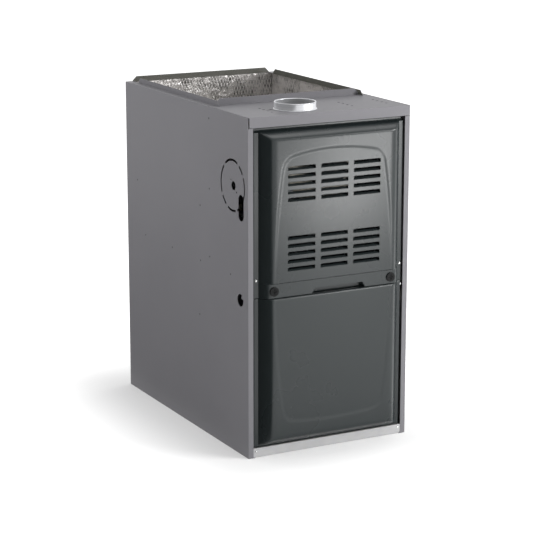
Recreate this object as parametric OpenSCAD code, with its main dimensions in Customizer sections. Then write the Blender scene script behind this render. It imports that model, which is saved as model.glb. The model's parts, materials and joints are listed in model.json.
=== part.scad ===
// Upflow forced-air gas furnace: sheet-metal casing with two lift-off doors,
// a burner compartment over a blower compartment, and a supply opening on top.
// X is to the right, Y to the back, Z up. The origin is on the floor, at the
// middle of the footprint with the doors on.

/* [Casing] */
// Width of the casing
casing_w = 445; // [435:1:480]
// Depth of the casing without the doors
casing_d = 711; // [700:1:760]
// Height of the casing without the opening flanges
casing_h = 838; // [832:1:880]
// Thickness of the casing sheet
sheet_t = 1; // [0.8:0.1:1.4]
// Width of the folded strip down each front edge
front_flange_w = 13.5; // [11:0.5:16]
// Width of the folds at the back and bottom edges
edge_fold = 18; // [14:1:24]
// Height of the blower deck's top face, as a share of the casing's height
deck_share = 0.53; // [0.52:0.005:0.54]
// Distance from the casing front to the vestibule panel
vestibule_y = 208; // [204:1:216]
// Height of the light strip under the lower door
bottom_rail_h = 24; // [20:1:26]

/* [Top] */
// Height of the top cap's folded front
rail_h = 25; // [20:1:28]
// Gap at the left end of the folded front
rail_end_gap = 4; // [3:0.5:5]
// Gap between the top cap and each side panel
cap_side_gap = 2; // [0.5:0.5:3]
// Height of the front flange of the supply opening
front_upstand_h = 17; // [14:1:20]
// Height of the other three flanges of the supply opening
side_upstand_h = 13; // [10:1:17]
// Distance the back flange stands in from the casing
upstand_step = 5; // [4:0.5:8]
// Distance the side flanges stand in from the casing
side_upstand_in = 21.5; // [20.5:0.5:24]
// Reach of the side flanges in front of the supply opening
upstand_reach = 22; // [15:1:26]
// Distance the side flanges end before the back of the casing
upstand_back_in = 38; // [30:1:46]
// Length cut off the corners of the flanges
upstand_chamfer = 11; // [6:1:14]
// Outer radius of the flue collar
collar_r = 51; // [48:0.5:52]
// Height of the flue collar above the casing
collar_h = 18; // [15:1:22]
// Collar centre to the left of the middle
collar_left = 52; // [45:1:56]
// Collar centre behind the casing front
collar_y = 83; // [80:1:86]
// Radius of the small vent holes in the top cap
vent_hole_r = 3.6; // [2:0.1:4]
// Holes in each row of vent holes
vent_hole_n = 4; // [3:1:5]
// Spacing of the vent holes
vent_pitch = 21.6; // [18:0.2:24]
// First vent hole behind the casing front
vent_row_y = 58; // [50:1:64]

/* [Doors] */
// How far the door faces stand in front of the casing
door_proud = 24; // [22:0.5:27]
// How far the door flanges sit behind the casing front
door_inset = 3; // [2:0.5:4]
// Thickness of the door sheet
door_t = 1; // [0.8:0.1:1.2]
// Gap between the doors and the casing's front strips
door_gap = 4; // [3:0.5:5]
// How much farther the doors reach to the left than to the right
door_left_reach = 2.5; // [0:0.5:2.5]
// Seam between the two doors below the blower deck
seam_drop = 44; // [42:1:48]
// Gap between the two doors
seam_gap = 0.6; // [0.4:0.1:2]
// Depth of the doors' folded edges
door_edge_d = 16.7; // [14:0.1:17]
// Width of the flat flange down each side of a door
door_flange_w = 11; // [9:0.5:13]
// Width of the slope from flange to raised face
door_slope_w = 28.7; // [24:0.1:32]
// Height of the slope along the top of the upper door
top_slope_h = 16; // [12:1:20]
// Height of the slope along the foot of the lower door
foot_slope_h = 20; // [15:1:24]
// Height of the set-back band at the foot of the upper door
band_h = 36; // [34:0.5:40]
// How far the band lies behind the raised face
band_back = 6; // [4:0.5:7]
// Depth of the shallow barrel-shaped panel in the doors
panel_recess = 3; // [2:0.5:4]
// Half the width of the barrel-shaped panel at its middle
barrel_hw = 169; // [160:1:172]
// Half the width of the barrel-shaped panel at its corners
barrel_end_hw = 138; // [130:1:145]
// Barrel panel's top below the upper door's top edge
barrel_top_drop = 51; // [45:1:56]
// Barrel panel's foot above the lower door's bottom edge
barrel_foot_rise = 50; // [45:1:56]
// Rise of the arch along the top of the barrel panel
barrel_arch = 18; // [12:1:22]
// Fall of the bow along the foot of the barrel panel
barrel_bow = 9; // [6:1:12]

/* [Finger pull] */
// Width of the finger pull at its mouth
pull_w = 148; // [130:1:160]
// Height of the finger pull
pull_h = 10; // [8:0.5:12]
// Depth of the finger pull
pull_d = 10; // [8:0.5:10]
// Finger pull's middle to the right of the door's middle
pull_right = 15; // [8:1:20]

/* [Louvres] */
// Width of a louvre
louvre_w = 75; // [68:1:80]
// Height of a louvre's opening
louvre_h = 9.6; // [8:0.2:10]
// Spacing of the louvre columns
louvre_col_pitch = 90; // [86:1:94]
// Spacing of the louvre rows
louvre_row_pitch = 19; // [17:0.5:20]
// Rows in each group of louvres
louvre_rows = 5; // [4:1:5]
// Columns of louvres
louvre_cols = 3; // [3:1:3]
// Height from the seam to the lower group's lowest louvre
louvre_low_rise = 64; // [60:1:68]
// Height from the upper group's lowest louvre to the door's top
louvre_top_drop = 179; // [172:1:188]
// How far the louvre vanes reach in
louvre_d = 5; // [4:0.5:9]
// Height of a vane's tip as a share of the opening's height
vane_share = 0.32; // [0.25:0.01:0.9]

/* [Knobs] */
// Radius of the quarter-turn knobs
knob_r = 11.5; // [11:0.5:13]
// Height of the knobs above the band
knob_h = 3; // [2.5:0.5:6]
// Knob axes below the blower deck
knob_drop = 26.5; // [24:0.5:28]
// Gap between a knob and the edge of the band
knob_edge_gap = 1.7; // [0.5:0.1:2.5]
// Radius of the knobs' studs
stud_r = 3.5; // [3:0.1:4]
// Length of the cam on the end of a stud
cam_l = 20; // [16:0.5:22]
// Width of the cam
cam_w = 6; // [5:0.5:7]

/* [Side openings] */
// Radius of the round vent knock-out
vent_ko_r = 64.5; // [60:0.5:68]
// Vent knock-out centre behind the casing front
vent_ko_y = 81; // [78:1:88]
// Vent knock-out centre below the casing's top
vent_ko_drop = 173; // [165:1:180]
// Width of the slits round the knock-out
slit_w = 5.5; // [2:0.5:7]
// Radius of the pilot hole in the knock-out
pilot_r = 11; // [9:0.5:12]
// Width of the gas pipe slot
gas_slot_w = 28; // [26:0.5:30]
// Height of the gas pipe slot
gas_slot_h = 64; // [56:1:68]
// Gas pipe centre behind the casing front
gas_y = 37; // [36:0.5:40]
// Gas pipe centre above the burners' axis
gas_rise = 97; // [92:1:100]
// Radius of the wiring hole
wire_hole_r = 15.5; // [12:0.1:16]
// Wiring hole centre behind the casing front
wire_hole_y = 42; // [40:0.5:48]
// Wiring hole centre below the blower deck
wire_hole_drop = 54; // [50:1:60]

/* [Heat exchanger] */
// Outer radius of the exchanger tubes
tube_r = 21; // [18:0.5:22]
// Wall of the exchanger tubes
tube_wall = 1.3; // [1:0.1:2]
// Number of tubes
tube_n = 4; // [3:1:4]
// Spacing of the tubes across the casing
tube_pitch = 95; // [88:1:98]
// Height of the lowest pass above the deck, as a share of the compartment's height
first_pass_share = 0.193; // [0.18:0.001:0.2]
// Depth of the highest pass below the casing's top, as a share of the same
top_pass_share = 0.198; // [0.19:0.001:0.2]
// Gap between the tubes' return bends and the walls
bend_gap = 6; // [5:1:12]
// How far the tubes reach through the vestibule panel
tube_stub = 3; // [2:0.5:6]
// Thickness of the foil-faced insulation
insulation_t = 12; // [8:1:16]

/* [Burners and gas] */
// Outer radius of a burner's mouth
burner_mouth_r = 20; // [18:0.5:21]
// Outer radius of a burner's throat
burner_throat_r = 12; // [10:0.5:14]
// Outer radius of a burner's flame head
burner_head_r = 18; // [16:0.5:19]
// Distance from the casing front to the burners' mouths
burner_y = 62; // [58:1:64]
// Length of a burner
burner_l = 128; // [120:1:132]
// Depth of the burner box below the burners' axis
burner_box_below = 34; // [30:1:38]
// Height of the burner box above the burners' axis
burner_box_above = 54; // [48:1:56]
// Outer radius of the manifold pipe
pipe_r = 10.7; // [10:0.1:11]
// Distance from the casing front to the manifold pipe
manifold_y = 40; // [38:0.5:42]
// Gas valve to the left of the middle
valve_left = 130; // [126:1:134]
// Width of the gas valve's body
valve_w = 84; // [76:1:88]
// Depth of the gas valve's body
valve_d = 60; // [54:1:62]
// Height of the gas valve's body
valve_h = 80; // [70:1:84]
// Radius of the gas inlet's thread
inlet_r = 9.3; // [9:0.1:9.6]
// Depth of the gas inlet's thread
inlet_l = 15; // [12:1:18]
// Radius of the gas valve's knob
valve_knob_r = 14; // [11:0.5:16]

/* [Inducer] */
// Wheel axis to the right of the collar's centre
inducer_offset = 60; // [56:1:64]
// Wheel axis below the top pass of the exchanger
inducer_drop = 60; // [56:1:64]
// Outlet's mouth above the top pass of the exchanger
outlet_rise = 30; // [26:1:32]
// Scroll radius where it starts
scroll_r0 = 76; // [74:1:80]
// Scroll radius where it meets the outlet
scroll_r1 = 105; // [100:1:108]
// Depth of the inducer housing
inducer_d = 62; // [56:1:66]
// Wall of the inducer housing
inducer_wall = 1.5; // [1:0.1:2]
// Radius of the inducer wheel
inducer_wheel_r = 65; // [60:1:68]
// Depth of the inducer wheel
inducer_wheel_d = 32; // [28:1:36]
// Radius of the inducer motor
inducer_motor_r = 43; // [38:1:46]
// Length of the inducer motor
inducer_motor_l = 43; // [40:1:46]
// Radius of the inducer shaft
inducer_shaft_r = 4; // [3.5:0.1:5]
// Depth of the collector box below the top pass
collector_below = 105; // [100:1:108]
// Height of the collector box above the top pass
collector_above = 26; // [24:1:28]
// Radius of the inducer's inlet
inlet_eye_r = 40; // [36:1:42]

/* [Blower] */
// Blower axis behind the casing front
blower_y = 400; // [390:1:410]
// Height of the blower axis, as a share of the deck's height
blower_share = 0.53; // [0.52:0.005:0.54]
// Radius of the blower wheel
wheel_r = 127; // [120:1:130]
// Housing's inner width
housing_w = 226; // [218:1:232]
// Gap between the wheel and each side of the housing
wheel_side_gap = 11.5; // [10:0.5:16]
// Number of wheel blades
blade_n = 36; // [30:2:42]
// Housing's radius at the cut-off
housing_r0 = 140; // [136:1:144]
// Housing's radius at the outlet
housing_r1 = 200; // [190:1:205]
// Radius of the inlets in the housing's sides
inlet_ring_r = 115; // [108:1:118]
// Radius of the blower motor
motor_r = 70; // [62:1:74]
// Length of the blower motor
motor_l = 130; // [115:1:135]
// Radius of the blower shaft
shaft_r = 6.35; // [6:0.05:8]

/* [Controls] */
// Width of the control panel
control_w = 270; // [240:5:290]
// Height of the control panel
control_h = 150; // [130:2:160]
// Distance from the casing front to the control panel
control_y = 82; // [78:1:90]
// Depth of the junction box
jbox_d = 60; // [54:1:64]
// Width of the junction box
jbox_w = 48; // [42:1:49]
// Height of the junction box
jbox_h = 84; // [76:1:90]
// Door switch below the wiring hole
switch_drop = 36; // [32:1:60]
// Radius of the door switch plunger
plunger_r = 2.5; // [2:0.1:2.5]
// Radius of the pressure switch
pressure_switch_r = 32; // [28:1:34]
// Outer radius of the pressure hose
hose_r = 4; // [3:0.5:5]

/* [Fits] */
// Gap left between pieces that lie against each other
seat_gap = 0.3; // [0.2:0.05:0.4]
// Radial clearance of turning and sliding fits
run_gap = 0.06; // [0.02:0.01:0.1]

/* [Hidden] */
$fn = 64;

// Faceting of the broad arcs, and the overshoot of a cut past a face
arc_fn = 240;
cut = 1;

screw_hole_r = 2;
screw_head_r = 3;

half_w = casing_w / 2;
wall_x = half_w - sheet_t;
front_y = (door_proud - casing_d) / 2;

// Heights that the compartments share
deck_z = round(casing_h * deck_share);
upper_h = casing_h - deck_z;
seam_z = deck_z - seam_drop;
knob_z = deck_z - knob_drop;
burner_z = deck_z + round(upper_h * first_pass_share);
top_pass_z = casing_h - round(upper_h * top_pass_share);
pass_pitch = (top_pass_z - burner_z) / 3;
rail_z = casing_h - rail_h;
gas_z = burner_z + gas_rise;
vent_ko_z = casing_h - vent_ko_drop;

// Doors
door_hw = half_w - front_flange_w - door_gap;
pan_hw = door_hw - door_flange_w;
face_hw = pan_hw - door_slope_w;
band_hw = face_hw + 10.2;
door_top_z = rail_z - 1;
door_foot_z = bottom_rail_h + 2;
upper_foot_z = seam_z + seam_gap / 2;
lower_top_z = seam_z - seam_gap / 2;
door_back_y = door_inset + door_edge_d;
deck_front_y = door_back_y + seat_gap;
band_y = band_back - door_proud;
knob_x = band_hw - knob_r - knob_edge_gap;
stud_hole_gap = 0.4;
cam_t = 3;
cam_y = deck_front_y + sheet_t + 1.5;
slot_margin = 1;

// Barrel-shaped panel: two side arcs, an arched top and a bowed foot
barrel_top_z = door_top_z - barrel_top_drop;
barrel_foot_z = door_foot_z + barrel_foot_rise;
barrel_mid_z = (barrel_top_z + barrel_foot_z) / 2;
barrel_half_h = (barrel_top_z - barrel_foot_z) / 2;
function arc_r(half_chord, rise) = (half_chord * half_chord + rise * rise) / (2 * rise);
barrel_side_r = arc_r(barrel_half_h, barrel_hw - barrel_end_hw);
barrel_top_r = arc_r(barrel_end_hw, barrel_arch);
barrel_foot_r = arc_r(barrel_end_hw, barrel_bow);

// Supply opening
opening_y = vestibule_y + 6;
rim_y0 = opening_y + 1;
rim_y1 = casing_d - sheet_t - upstand_step - seat_gap;
upstand_y0 = opening_y - upstand_reach;
upstand_y1 = casing_d - upstand_back_in;

// Inducer
inducer_x = inducer_offset - collar_left;
inducer_z = top_pass_z - inducer_drop;
inducer_y0 = collar_y - inducer_d / 2;
inducer_y1 = collar_y + inducer_d / 2;
outlet_z = top_pass_z + outlet_rise;
outlet_w = 2 * (scroll_r1 - inducer_offset);
pipe_outer_r = collar_r - sheet_t - seat_gap;
motor_back_y = inducer_y0 - 3;
motor_front_y = motor_back_y - inducer_motor_l;
fan_front_y = motor_front_y - 10;
collector_hw = (tube_n - 1) * tube_pitch / 2 + tube_r + 10;
collector_z0 = top_pass_z - collector_below;
collector_z1 = top_pass_z + collector_above;

// Burner box and gas train
box_y0 = burner_y + 12;
box_z0 = burner_z - burner_box_below;
box_z1 = burner_z + burner_box_above;
valve_z0 = gas_z - valve_h * 0.55;
valve_y0 = gas_y - valve_d / 2;
rollout_x = 118;
rollout_y = box_y0 + 40;
rollout_r = 10;
rollout_h = 12;
button_r = 3;
button_travel = 1.5;

// Blower
blower_z = round(deck_z * blower_share);
wheel_w = housing_w - 2 * wheel_side_gap;
inner_hw = housing_w / 2;
housing_top_z = deck_z - sheet_t - seat_gap;
hub_r = 20;
motor_x1 = -wheel_w / 2 + 30;
motor_x0 = motor_x1 - motor_l;

// Controls
control_z0 = deck_z - sheet_t - control_h;
board_y = control_y - 14;
board_w = 165;
board_x0 = -control_w / 2 + 12;
board_z0 = control_z0 + 16;
board_h = 120;
switch_x = (door_hw + pan_hw) / 2 - 0.5;
switch_y = deck_front_y + sheet_t + 2;
wire_hole_z = deck_z - wire_hole_drop;
switch_z = wire_hole_z - switch_drop;
jbox_y0 = deck_front_y + sheet_t + seat_gap;
grommet_x = 150;
grommet_y = 52;
grommet_r = 14;

// Places along the casing's length where panels are fixed to its sides
deck_fix_y0 = 94;
deck_fix_pitch = 167;

module at_front() translate([0, front_y, 0]) children();

// Draws a (y, z) outline and extrudes it along +X from x
module along_x(x, l) translate([x, 0, 0]) rotate([90, 0, 90]) linear_extrude(l) children();

// Draws an (x, z) outline and extrudes it along +Y from y
module along_y(y, l) translate([0, y + l, 0]) rotate([90, 0, 0]) linear_extrude(l) children();

module box(x0, x1, y0, y1, z0, z1) translate([x0, y0, z0]) cube([x1 - x0, y1 - y0, z1 - z0]);

module rod_x(r, x0, x1, y, z) translate([x0, y, z]) rotate([0, 90, 0]) cylinder(r = r, h = x1 - x0);
module rod_y(r, x, y0, y1, z) translate([x, y1, z]) rotate([90, 0, 0]) cylinder(r = r, h = y1 - y0);
module rod_z(r, x, y, z0, z1) translate([x, y, z0]) cylinder(r = r, h = z1 - z0);

// Upright flange with its top corners cut off, drawn in its own plane
module chamfered(a, b, z0, z1) {
    polygon([[a, z0], [b, z0], [b, z1 - upstand_chamfer], [b - upstand_chamfer, z1],
        [a + upstand_chamfer, z1], [a, z1 - upstand_chamfer]]);
}

// ---- Casing ----

// Slits of the vent knock-out: each is [start angle, sweep], from +Y towards +Z
vent_slits = [[52, 62], [124, 22], [155, 92], [256, 38], [304, 24], [336, 66]];

// Small holes in the knock-out, as [y, z] from its centre
tool_holes = [[8, 13], [-21, -14]];
tool_hole_r = 2;
pilot_forward = 5;

// Tab left in the wiring hole: from its centre, [front, back] and [foot, top]
tab_y = [-17, -6];
tab_z = [4.5, 11.5];
dimple_r = 2.5;

module vent_knock_out() {
    for (s = vent_slits)
        translate([wall_x - cut, vent_ko_y, vent_ko_z]) rotate([90, 0, 90]) rotate([0, 0, s[0]])
            rotate_extrude(angle = s[1], $fn = 96)
                translate([vent_ko_r - slit_w, 0]) square([slit_w, sheet_t + 2 * cut]);
    rod_x(pilot_r, wall_x - cut, half_w + cut, vent_ko_y - pilot_forward, vent_ko_z);
    for (p = tool_holes)
        rod_x(tool_hole_r, wall_x - cut, half_w + cut, vent_ko_y + p[0], vent_ko_z + p[1]);
}

module wiring_hole() difference() {
    rod_x(wire_hole_r, wall_x - cut, half_w + cut, wire_hole_y, wire_hole_z);
    box(wall_x - cut, half_w + cut, wire_hole_y + tab_y[0], wire_hole_y + tab_y[1],
        wire_hole_z + tab_z[0], wire_hole_z + tab_z[1]);
}

module gas_slot(x0, x1) {
    end_z = gas_slot_h / 2 - gas_slot_w / 2;
    for (s = [-1, 1])
        rod_x(gas_slot_w / 2, x0, x1, gas_y, gas_z + s * end_z);
    box(x0, x1, gas_y - gas_slot_w / 2, gas_y + gas_slot_w / 2, gas_z - end_z, gas_z + end_z);
}

// Pressed spots where the deck, the vestibule panel and the exchanger are joined to the side
module side_dimples() {
    for (i = [0:3])
        dimple(deck_fix_y0 + i * deck_fix_pitch, deck_z - 0.5);
    for (z = [deck_z + 20, burner_z + 115, casing_h - 29])
        dimple(vestibule_y + 0.5, z);
    for (y = [vestibule_y + 53, casing_d - 68])
        dimple(y, burner_z + 64);
    dimple(vestibule_y + 60, seam_z - 97);
}
module dimple(y, z) rod_x(dimple_r, half_w - sheet_t / 2, half_w + cut, y, z);

// Upstand beside the supply opening, whose front end passes over the top cap
module side_upstand() {
    x0 = half_w - side_upstand_in;
    box(x0, x0 + sheet_t, rim_y0, upstand_y1, casing_h - sheet_t, casing_h + sheet_t);
    along_x(x0, sheet_t)
        chamfered(upstand_y0, upstand_y1, casing_h + seat_gap, casing_h + side_upstand_h);
}

module side_panel(knock_outs) {
    difference() {
        union() {
            box(wall_x, half_w, 0, casing_d, 0, casing_h);
            box(half_w - front_flange_w, half_w, 0, sheet_t, 0, rail_z - 1);
            box(half_w - edge_fold, half_w, casing_d - sheet_t, casing_d, 0, casing_h);
            box(half_w - edge_fold, half_w, 0, casing_d, 0, sheet_t);
            box(half_w - side_upstand_in, half_w, rim_y0, rim_y1, casing_h - sheet_t, casing_h);
            side_upstand();
        }
        if (knock_outs) {
            vent_knock_out();
            gas_slot(wall_x - cut, half_w + cut);
        }
        wiring_hole();
        side_dimples();
    }
}
// The gas pipe and the vent leave on the left, so the right panel's knock-outs stay closed
module right_side_panel() color("#7b7b7d") at_front() side_panel(false);
module left_side_panel() color("#7b7b7d") at_front() mirror([1, 0, 0]) side_panel(true);

module back_panel() color("#7b7b7d") at_front() {
    inside = wall_x - seat_gap;
    y1 = casing_d - sheet_t;
    box(-inside, inside, y1 - sheet_t, y1, 2 * sheet_t, casing_h);
    box(-half_w + edge_fold, half_w - edge_fold, y1 - upstand_step, y1, casing_h - sheet_t, casing_h);
    along_y(y1 - upstand_step, sheet_t)
        chamfered(-half_w + edge_fold, half_w - edge_fold, casing_h - sheet_t,
            casing_h + side_upstand_h);
}

module base_pan() color("#a9abad") at_front() {
    inside = wall_x - seat_gap;
    y0 = sheet_t * 2 + 1;
    y1 = casing_d - 2 * sheet_t;
    flange_h = 20;
    rib_x = 90;
    rib_hw = 20;
    rib_inset = 60;
    box(-inside, inside, y0, y1, sheet_t, 2 * sheet_t);
    for (s = [-1, 1])
        translate([s * (inside - sheet_t / 2), 0, 0])
            box(-sheet_t / 2, sheet_t / 2, y0 + flange_h, y1, sheet_t, flange_h);
    for (s = [-1, 1])
        box(s * rib_x - rib_hw, s * rib_x + rib_hw, rib_inset, casing_d - rib_inset,
            2 * sheet_t, 4 * sheet_t);
}

// Light strip across the foot of the front, with a screwed tab at each end
tab_hw = 7;
tab_foot_z = 5;
tab_proud = 0.4;
rail_screw_x = half_w - front_flange_w - tab_hw;
rail_screw_z = 15;
module bottom_rail() color("#d1d1d1") at_front() difference() {
    y0 = 1;
    top_fold = 7;
    union() {
        hw = half_w - front_flange_w - 1;
        box(-hw, hw, y0, y0 + sheet_t, sheet_t, bottom_rail_h);
        box(-hw, hw, y0, y0 + top_fold, bottom_rail_h - sheet_t, bottom_rail_h);
        for (s = [-1, 1])
            translate([s * rail_screw_x, 0, 0])
                box(-tab_hw, tab_hw, y0 - tab_proud, y0 + sheet_t, tab_foot_z, bottom_rail_h);
    }
    for (s = [-1, 1])
        rod_y(screw_hole_r, s * rail_screw_x, 0, 4, rail_screw_z);
}

// Columns of vent holes beside the collar and to the right of it
vent_x = [-half_w + 94.5, half_w - 131, half_w - 33];
module top_cap() color("#8e8e90") at_front() difference() {
    cap_hw = wall_x - cap_side_gap;
    tool_x = -collar_left - 62;
    tool_r = 4.5;
    union() {
        box(-cap_hw, cap_hw, 0, opening_y, casing_h - sheet_t, casing_h);
        box(-half_w + rail_end_gap, wall_x - seat_gap, 0, sheet_t, rail_z, casing_h);
        along_y(opening_y - sheet_t, sheet_t)
            chamfered(-half_w + edge_fold + 4, half_w - edge_fold - 4, casing_h - sheet_t,
                casing_h + front_upstand_h);
    }
    rod_z(collar_r + seat_gap, -collar_left, collar_y, casing_h - 3, casing_h + 3);
    for (x = vent_x)
        for (i = [0:vent_hole_n - 1])
            rod_z(vent_hole_r, x, vent_row_y + i * vent_pitch, casing_h - 3, casing_h + 3);
    rod_z(tool_r, tool_x, collar_y + 9, casing_h - 3, casing_h + 3);
}

module flue_collar() color("#cdced2") at_front() translate([-collar_left, collar_y, 0])
    rotate_extrude($fn = 96) {
        sunk = 25;
        ring_w = 2.5;
        ring_t = 1.2;
        translate([collar_r - sheet_t, casing_h - sunk]) square([sheet_t, collar_h + sunk]);
        translate([collar_r - sheet_t, casing_h]) square([sheet_t + ring_w, ring_t]);
    }

module vestibule_panel() color("#a9abad") at_front() difference() {
    inside = wall_x - seat_gap;
    side_fold = 14;
    union() {
        box(-inside, inside, vestibule_y, vestibule_y + sheet_t, deck_z, casing_h - sheet_t);
        for (s = [-1, 1])
            translate([s * (inside - sheet_t / 2), 0, 0])
                box(-sheet_t / 2, sheet_t / 2, vestibule_y - side_fold, vestibule_y, deck_z,
                    casing_h - sheet_t);
    }
    tube_holes();
}
module tube_holes() {
    for (i = [0:tube_n - 1])
        for (z = [burner_z, top_pass_z])
            rod_y(tube_r + seat_gap, tube_x(i), vestibule_y - 3, vestibule_y + 3, z);
}
function tube_x(i) = (i - (tube_n - 1) / 2) * tube_pitch;

// Outlet window of the blower: its two edges in Y and its half width in X
window_y0 = blower_y + 2;
window_y1 = blower_y + housing_r1 - 2;
window_hw = inner_hw - 4;
runner_drop = 8;

module blower_deck() color("#a9abad") at_front() difference() {
    inside = wall_x - seat_gap;
    front_fold_z = seam_z - 12;
    runner_y0 = 180;
    runner_y1 = casing_d - 60;
    runner_x = inner_hw + 9;
    runner_hw = 6;
    union() {
        box(-inside, inside, deck_front_y, casing_d - 2 * sheet_t, deck_z - sheet_t, deck_z);
        box(-inside, inside, deck_front_y, deck_front_y + sheet_t, front_fold_z, deck_z);
        // Runners that the blower housing hangs from
        for (s = [-1, 1])
            box(s * runner_x - runner_hw, s * runner_x + runner_hw, runner_y0, runner_y1,
                deck_z - runner_drop, deck_z - runner_drop + sheet_t);
        for (s = [-1, 1])
            translate([s * (runner_x + runner_hw - sheet_t / 2), 0, 0])
                box(-sheet_t / 2, sheet_t / 2, runner_y0, runner_y1, deck_z - runner_drop, deck_z);
    }
    box(-window_hw, window_hw, window_y0, window_y1, deck_z - 5, deck_z + 5);
    rod_z(grommet_r, grommet_x, grommet_y, deck_z - 5, deck_z + 5);
    for (s = [-1, 1])
        box(s * knob_x - cam_l / 2 - slot_margin, s * knob_x + cam_l / 2 + slot_margin,
            deck_front_y - 5, deck_front_y + 5,
            knob_z - cam_w / 2 - slot_margin, knob_z + cam_w / 2 + slot_margin);
}

// ---- Heat exchanger compartment ----

module insulation_side() {
    box(wall_x - insulation_t, wall_x, vestibule_y + sheet_t + seat_gap,
        casing_d - 2 * sheet_t, deck_z + seat_gap, casing_h - sheet_t - seat_gap);
}
module insulation_right() color("#cecdd2") at_front() insulation_side();
module insulation_left() color("#cecdd2") at_front() mirror([1, 0, 0]) insulation_side();
module insulation_back() color("#b6b4b5") at_front() {
    hw = wall_x - insulation_t - seat_gap;
    y1 = casing_d - 2 * sheet_t;
    box(-hw, hw, y1 - insulation_t, y1, deck_z + seat_gap, casing_h - sheet_t - seat_gap);
}

// One tube: four passes joined by three return bends
module serpentine(r) {
    bend_reach = pass_pitch / 2 + tube_r + bend_gap;
    y0 = vestibule_y + sheet_t + bend_reach;
    y1 = casing_d - 2 * sheet_t - insulation_t - bend_reach;
    for (i = [0:3])
        rod_y(r, 0, i == 0 || i == 3 ? vestibule_y - tube_stub : y0, y1, burner_z + i * pass_pitch);
    for (i = [0, 2])
        translate([0, y1, burner_z + (i + 0.5) * pass_pitch]) bend(r);
    translate([0, y0, burner_z + 1.5 * pass_pitch]) mirror([0, 1, 0]) bend(r);
}
module bend(r) rotate([90, 0, 90]) rotate([0, 0, -90])
    rotate_extrude(angle = 180, $fn = 64) translate([pass_pitch / 2, 0]) circle(r = r, $fn = 32);

module heat_exchanger_tubes() color("#b9bab8") at_front()
    for (i = [0:tube_n - 1])
        translate([tube_x(i), 0, 0]) difference() {
            serpentine(tube_r);
            serpentine(tube_r - tube_wall);
            for (z = [burner_z, top_pass_z])
                rod_y(tube_r - tube_wall, 0, vestibule_y - tube_stub - cut, vestibule_y, z);
        }

// ---- Inducer and flue ----
module collector_box() color("#9b9c9d") at_front() difference() {
    flange = 8;
    union() {
        box(-collector_hw, collector_hw, inducer_y1 + seat_gap, vestibule_y, collector_z0, collector_z1);
        box(-collector_hw - flange, collector_hw + flange, vestibule_y - sheet_t, vestibule_y,
            collector_z0 - flange, collector_z1 + flange);
    }
    box(-collector_hw + sheet_t, collector_hw - sheet_t, inducer_y1 + seat_gap + sheet_t,
        vestibule_y + cut, collector_z0 + sheet_t, collector_z1 - sheet_t);
    rod_y(inlet_eye_r, inducer_x, inducer_y1 - 2, inducer_y1 + 5, inducer_z);
}

// Spiral outline that grows from r0 to r1, with its outlet straight up on the left.
// The points are (x, z), about the wheel axis.
function spiral_r(a) = scroll_r0 + (scroll_r1 - scroll_r0) * (90 - a) / 270;
function spiral(r0, r1) = [for (a = [90:-7.5:-180])
    let (r = r0 + (r1 - r0) * (90 - a) / 270) [r * cos(a), r * sin(a)]];

module inducer_outline(shrink, top) translate([inducer_x, inducer_z])
    polygon(concat(spiral(scroll_r0 - shrink, scroll_r1 - shrink),
        [[-scroll_r1 + shrink, top - inducer_z],
         [-scroll_r1 + outlet_w - shrink, top - inducer_z],
         [-scroll_r1 + outlet_w - shrink, scroll_r0 - shrink]]));

module inducer_housing() color("#8a8c8e") at_front() difference() {
    union() {
        along_y(inducer_y0, inducer_d) inducer_outline(0, outlet_z);
        for (a = [30, -60, -150])
            rod_y(8, inducer_x + spiral_r(a) * cos(a), inducer_y1 - 3, inducer_y1,
                inducer_z + spiral_r(a) * sin(a));
    }
    along_y(inducer_y0 + inducer_wall, inducer_d - 2 * inducer_wall)
        inducer_outline(inducer_wall, outlet_z + cut);
    rod_y(inlet_eye_r - 2, inducer_x, inducer_y1 - 5, inducer_y1 + cut, inducer_z);
    rod_y(inducer_shaft_r + 3, inducer_x, inducer_y0 - cut, inducer_y0 + 5, inducer_z);
}

module flue_outlet_pipe() color("#a5a7a9") at_front() translate([-collar_left, collar_y, 0]) {
    z0 = outlet_z + seat_gap;
    difference() {
        box(-pipe_outer_r - 2, pipe_outer_r + 2, -pipe_outer_r - 2, pipe_outer_r + 2, z0, z0 + 1.2);
        rod_z(pipe_outer_r - sheet_t, 0, 0, z0 - cut, z0 + 3);
    }
    rotate_extrude($fn = 96)
        translate([pipe_outer_r - sheet_t, z0]) square([sheet_t, casing_h - 12 - z0]);
    // Skirt that fits over the housing's outlet
    for (s = [-1, 1])
        box(-outlet_w / 2 - 3, outlet_w / 2 + 3, s * (inducer_d / 2 + seat_gap + 0.6) - 0.6,
            s * (inducer_d / 2 + seat_gap + 0.6) + 0.6, z0 - (s < 0 ? 9 : 2), z0);
}

module inducer_motor() color("#2f3133") at_front() difference() {
    union() {
        rod_y(inducer_motor_r, inducer_x, motor_front_y, motor_front_y + 10, inducer_z);
        box(inducer_x - 34, inducer_x + 34, motor_front_y + 8, motor_back_y - 6,
            inducer_z - 40, inducer_z + 34);
        rod_y(inducer_motor_r - 6, inducer_x, motor_back_y - 12, motor_back_y, inducer_z);
        for (a = [30, 150, 270])
            rod_y(4, inducer_x + 30 * cos(a), motor_back_y - 1, inducer_y0, inducer_z + 30 * sin(a));
    }
    rod_y(inducer_shaft_r + run_gap, inducer_x, motor_front_y - cut, inducer_y0, inducer_z);
    rod_y(inducer_motor_r - 8, inducer_x, motor_front_y - cut, motor_front_y + 3, inducer_z);
}

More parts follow.
